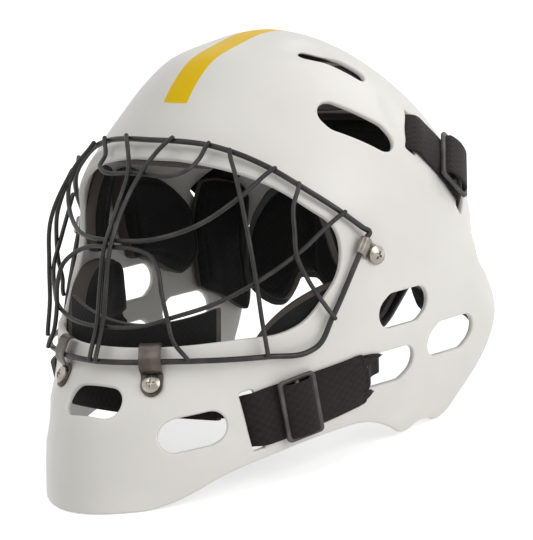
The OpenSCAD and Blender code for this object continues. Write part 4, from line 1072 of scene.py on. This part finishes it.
# Shared shader effects
def newGroup(name, inputs, outputs):
    # Node group with named inputs and outputs, each (name, kind, value)
    tree = bpy.data.node_groups.new(name, "ShaderNodeTree")
    kinds = {"value": "NodeSocketFloat", "vector": "NodeSocketVector"}
    for label, kind, value in inputs:
        sock = tree.interface.new_socket(name=label, in_out="INPUT", socket_type=kinds[kind])
        if value is not None:
            sock.default_value = value
    for label in outputs:
        tree.interface.new_socket(name=label, in_out="OUTPUT", socket_type=kinds["value"])
    return tree, tree.nodes.new("NodeGroupInput").outputs, tree.nodes.new("NodeGroupOutput")


def feed(tree, node, values):
    # Links or sets each named input of a node
    for key, value in values.items():
        if isinstance(value, bpy.types.NodeSocket):
            tree.links.new(value, node.inputs[key])
        else:
            node.inputs[key].default_value = value


def addNode(tree, kind, values=None, **settings):
    node = tree.nodes.new("ShaderNode" + kind)
    for key, value in settings.items():
        setattr(node, key, value)
    feed(tree, node, values or {})
    return node


def maths(tree, operation, *values):
    return addNode(tree, "Math", dict(enumerate(values)), operation=operation).outputs[0]


def times(tree, a, b):
    return maths(tree, "MULTIPLY", a, b)


def ramp(tree, value, lo, hi, outLo=0.0, outHi=1.0):
    # Smooth rise from outLo at lo to outHi at hi
    values = {"Value": value, "From Min": lo, "From Max": hi, "To Min": outLo, "To Max": outHi}
    return addNode(tree, "MapRange", values, interpolation_type="SMOOTHSTEP").outputs["Result"]


def noise(tree, place, scale, detail, rough):
    values = {"Vector": place, "Scale": scale, "Detail": detail, "Roughness": rough}
    return addNode(tree, "TexNoise", values).outputs["Fac"]


def mixColour(tree, fac, a, b):
    # Mix of two colours, each a socket or (red, green, blue)
    a, b = [(*v, 1) if isinstance(v, tuple) else v for v in (a, b)]
    return addNode(tree, "Mix", {0: fac, 6: a, 7: b}, data_type="RGBA").outputs[2]


def grainGroup():
    # Fine grain and broad mottling from two noises, for moulded and coated skins
    tree, gin, gout = newGroup("fine_grain", [("Place", "vector", None), ("Fine", "value", 900.0),
                                              ("Broad", "value", 14.0)], ["Fine", "Broad"])
    feed(tree, gout, {"Fine": noise(tree, gin["Place"], gin["Fine"], 3.0, 0.6),
                      "Broad": noise(tree, gin["Place"], gin["Broad"], 4.0, 0.5)})
    return tree


def weaveGroup():
    # Over-and-under threads: height = |sin 2 pi a| / 2 + 0.3 |sin 2 pi b| + 0.35 sin pi a sin pi b,
    # with painted shade in the tone: half the height, darker between the threads, plus thread noise
    tree, gin, gout = newGroup("woven_threads", [("Place", "vector", None), ("Across", "value", 900.0),
                                                 ("Along", "value", 700.0)], ["Height", "Tone"])
    split = addNode(tree, "SeparateXYZ", {"Vector": gin["Place"]}).outputs
    a, b = times(tree, split["X"], gin["Across"]), times(tree, split["Y"], gin["Along"])
    ridgeA, ridgeB = [maths(tree, "ABSOLUTE", maths(tree, "SINE", times(tree, v, 6.2832))) for v in (a, b)]
    waveA, waveB = [maths(tree, "SINE", times(tree, v, 3.1416)) for v in (a, b)]
    ridge = maths(tree, "ADD", times(tree, ridgeA, 0.5), times(tree, ridgeB, 0.3))
    height = maths(tree, "ADD", ridge, times(tree, times(tree, waveA, waveB), 0.35))
    thread = noise(tree, gin["Place"], 260.0, 4.0, 0.7)
    # Painted shade: the tone follows the weave's height, darker in the hollows between threads and lighter
    # on their crowns
    tone = maths(tree, "ADD", times(tree, height, 0.5), times(tree, thread, 0.6))
    feed(tree, gout, {"Height": height, "Tone": tone})
    return tree


groups = {"grain": grainGroup(), "weave": weaveGroup()}


def placeGroup(tree, name, values):
    return addNode(tree, "Group", values, node_tree=groups[name])


def startMaterial(name):
    mat = bpy.data.materials.new(name)
    mat.use_nodes = True
    return mat, mat.node_tree, mat.node_tree.nodes["Principled BSDF"]


def grained(tree, fine, broad):
    # Texture places of a piece and the grain over it
    coords = addNode(tree, "TexCoord").outputs
    values = {"Place": coords["Object"], "Fine": fine, "Broad": broad}
    return coords, placeGroup(tree, "grain", values).outputs


def bump(tree, height, strength, distance):
    values = {"Height": height, "Strength": strength, "Distance": distance}
    return addNode(tree, "Bump", values).outputs["Normal"]


def shellFinish():
    # Satin white moulding with fine grain and the plain yellow stripe over the crown
    tones = {"white": (0.81, 0.79, 0.745), "shade": (0.78, 0.76, 0.715),
             "yellow": (0.86, 0.56, 0.0), "stripeHalf": 0.0088, "stripeFoot": 0.2075,
             "sharpX": 0.0001, "sharpZ": 0.0002}
    mat, tree, shader = startMaterial("moulded_white")
    coords, grain = grained(tree, 1400.0, 22.0)
    split = addNode(tree, "SeparateXYZ", {"Vector": coords["Object"]}).outputs
    stripe = ramp(tree, maths(tree, "ABSOLUTE", split["X"]), tones["stripeHalf"] + tones["sharpX"],
                  tones["stripeHalf"] - tones["sharpX"])
    above = ramp(tree, split["Z"], tones["stripeFoot"] - tones["sharpZ"],
                 tones["stripeFoot"] + tones["sharpZ"])
    outside = addNode(tree, "Attribute", attribute_name="outerFace").outputs["Fac"]
    painted = times(tree, times(tree, stripe, above), outside)
    white = mixColour(tree, ramp(tree, grain["Broad"], 0.35, 0.7), tones["white"], tones["shade"])
    feed(tree, shader, {"Base Color": mixColour(tree, painted, white, tones["yellow"]),
                        "Specular IOR Level": ramp(tree, painted, 0.0, 1.0, 0.45, 0.14),
                        "Coat Weight": ramp(tree, painted, 0.0, 1.0, 0.12, 0.0), "Coat Roughness": 0.25,
                        "Roughness": ramp(tree, grain["Broad"], 0.3, 0.75, 0.36, 0.46),
                        "Normal": bump(tree, grain["Fine"], 0.06, 0.0002)})
    return mat


def metalFinish(name, dark, light, rough, metallic):
    # Two tones mottled by the broad grain, with the fine grain in roughness and bump
    mat, tree, shader = startMaterial(name)
    grain = grained(tree, 1800.0, 90.0)[1]
    feed(tree, shader, {"Base Color": mixColour(tree, ramp(tree, grain["Broad"], 0.42, 0.72), dark, light),
                        "Specular IOR Level": 0.5, "Metallic": metallic,
                        "Roughness": ramp(tree, grain["Fine"], 0.3, 0.7, rough - 0.06, rough + 0.1),
                        "Normal": bump(tree, grain["Fine"], 0.12, 0.0002)})
    return mat


def clothFinish(name, dark, light, across, along, sheen, edge=None):
    # Woven threads over the piece's own UV, with painted shade between the threads, browner where the
    # attribute cutEdge is 1
    mat, tree, shader = startMaterial(name)
    coords, grain = grained(tree, 700.0, 40.0)
    weave = placeGroup(tree, "weave", {"Place": coords["UV"], "Across": across, "Along": along}).outputs
    # The weave's tone carries painted shade between the threads; the broad grain adds random mottling
    tone = maths(tree, "ADD", times(tree, weave["Tone"], 0.7), times(tree, grain["Broad"], 0.4))
    colour = mixColour(tree, ramp(tree, tone, 0.3, 1.0), dark, light)
    if edge is not None:
        mark = addNode(tree, "Attribute", attribute_name="cutEdge").outputs["Fac"]
        colour = mixColour(tree, ramp(tree, mark, 0.1, 0.6), colour, edge)
    feed(tree, shader, {"Base Color": colour, "Roughness": 0.85, "Specular IOR Level": 0.25,
                        "Sheen Weight": sheen, "Sheen Roughness": 0.5,
                        "Normal": bump(tree, weave["Height"], 0.5, 0.0003)})
    return mat


finishes = {
    "shell": shellFinish(),
    "cage_wire": metalFinish("coated_wire", (0.019, 0.018, 0.017), (0.042, 0.039, 0.036), 0.36, 0.4),
    "side_clip": metalFinish("pressed_steel", (0.2, 0.18, 0.155), (0.32, 0.295, 0.26), 0.3, 0.9),
    "chin_clip": metalFinish("coated_clip", (0.065, 0.053, 0.044), (0.12, 0.102, 0.088), 0.36, 0.75),
    "screws": metalFinish("plated_screw", (0.3, 0.275, 0.24), (0.48, 0.45, 0.4), 0.22, 1.0),
    "nuts": metalFinish("zinc_nut", (0.4, 0.4, 0.4), (0.55, 0.55, 0.54), 0.35, 1.0),
    "webbing": clothFinish("woven_webbing", (0.0085, 0.006, 0.0055), (0.026, 0.020, 0.018), 420.0,
                           330.0, 0.08),
    "sliders": metalFinish("satin_slider", (0.055, 0.05, 0.046), (0.10, 0.092, 0.085), 0.42, 0.2),
    "padding": clothFinish("knitted_cover", (0.0035, 0.0035, 0.0035), (0.011, 0.0105, 0.010),
                           500.0, 500.0, 0.06, (0.085, 0.072, 0.062)),
    "back_plate": metalFinish("satin_black", (0.012, 0.012, 0.012), (0.022, 0.022, 0.022), 0.4, 0.0)}


def paint(obj, slotName):
    if not obj.material_slots:
        obj.data.materials.append(finishes[slotName])
    for slot in obj.material_slots:
        slot.material = finishes[slotName]


for obj in made:
    paint(obj, obj["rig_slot"])
for nodeName, slotName in (("clip_screws", "screws"), ("clip_nuts", "nuts"), ("plate_lug_left", "sliders"),
                           ("plate_lug_right", "sliders")):
    paint(nodes[nodeName], slotName)
print("finishes", len(finishes))


# Stage, light and camera
def seenDirectly(tree):
    # 1 for rays from the camera, a mirror or clear matter
    path = addNode(tree, "LightPath").outputs
    seen = maths(tree, "MAXIMUM", path["Is Camera Ray"], path["Is Glossy Ray"])
    return maths(tree, "MAXIMUM", seen, path["Is Transmission Ray"])


studio = {"target": (0, 0, 0.12), "lamps": {"key": ((-0.3, -1.6, 2.2), 1.6, 13),
                                            "fill": ((2.4, 0.1, 1.3), 1.8, 30),
                                            "back": ((0.3, 2.0, 1.8), 1.6, 12)},
          "world": (1.0, 1.0, 1.0, 1), "worldStrength": 0.395, "floorHalf": 6, "floorZ": -0.0005,
          "floorTone": (0.86, 0.86, 0.86, 1), "floorGlow": 0.62}
half, z = studio["floorHalf"], studio["floorZ"]
mesh = bpy.data.meshes.new("floor")
square = [(x * half, y * half, z) for x, y in ((-1, -1), (1, -1), (1, 1), (-1, 1))]
mesh.from_pydata(square, [], [(0, 1, 2, 3)])
floor = link(bpy.data.objects.new("floor", mesh))
# The camera and mirrors see the floor as plain white, and it keeps the object's shadow
mat, tree, shader = startMaterial("pale_floor")
feed(tree, shader, {"Base Color": studio["floorTone"], "Roughness": 0.9, "Specular IOR Level": 0.1,
                    "Emission Color": (1, 1, 1, 1),
                    "Emission Strength": times(tree, seenDirectly(tree), studio["floorGlow"])})
mesh.materials.append(mat)

for name, (at, size, power) in studio["lamps"].items():
    lamp = bpy.data.lights.new(name, "AREA")
    lamp.shape, lamp.size, lamp.energy = "SQUARE", size, power
    obj = link(bpy.data.objects.new(name, lamp))
    obj.location = at
    obj.rotation_euler = (Vector(studio["target"]) - Vector(at)).to_track_quat("-Z", "Y").to_euler()
world = bpy.data.worlds.new("studio")
bpy.context.scene.world = world
world.use_nodes = True
tree = world.node_tree
strength = studio["worldStrength"]
feed(tree, tree.nodes["Background"],
     {"Color": studio["world"],
      "Strength": maths(tree, "ADD", times(tree, seenDirectly(tree), 1.0 - strength), strength)})

view = {"place": (1321.7, -1538.9, 326.0), "azimuth": 40.0, "elevation": 5.4, "lens": 236.4}
cam = bpy.data.cameras.new("photo_camera")
camera = link(bpy.data.objects.new("photo_camera", cam))
az, el = math.radians(view["azimuth"]), math.radians(view["elevation"])
right = np.array([math.cos(az), math.sin(az), 0])
ahead = np.array([-math.sin(az) * math.cos(el), math.cos(az) * math.cos(el), -math.sin(el)])
axes = [(toRow(v) - toRow(np.zeros(3))) * 1000 for v in (right, np.cross(right, ahead), -ahead)]
matrix = Matrix(np.stack(axes, 1).tolist()).to_4x4()
matrix.translation = Vector(toRow(view["place"]))
camera.matrix_world = matrix
cam.lens, cam.sensor_width, cam.sensor_fit = view["lens"], 36.0, "HORIZONTAL"
cam.clip_end = 20
bpy.context.scene.camera = camera
bpy.context.scene.view_settings.view_transform = "Standard"
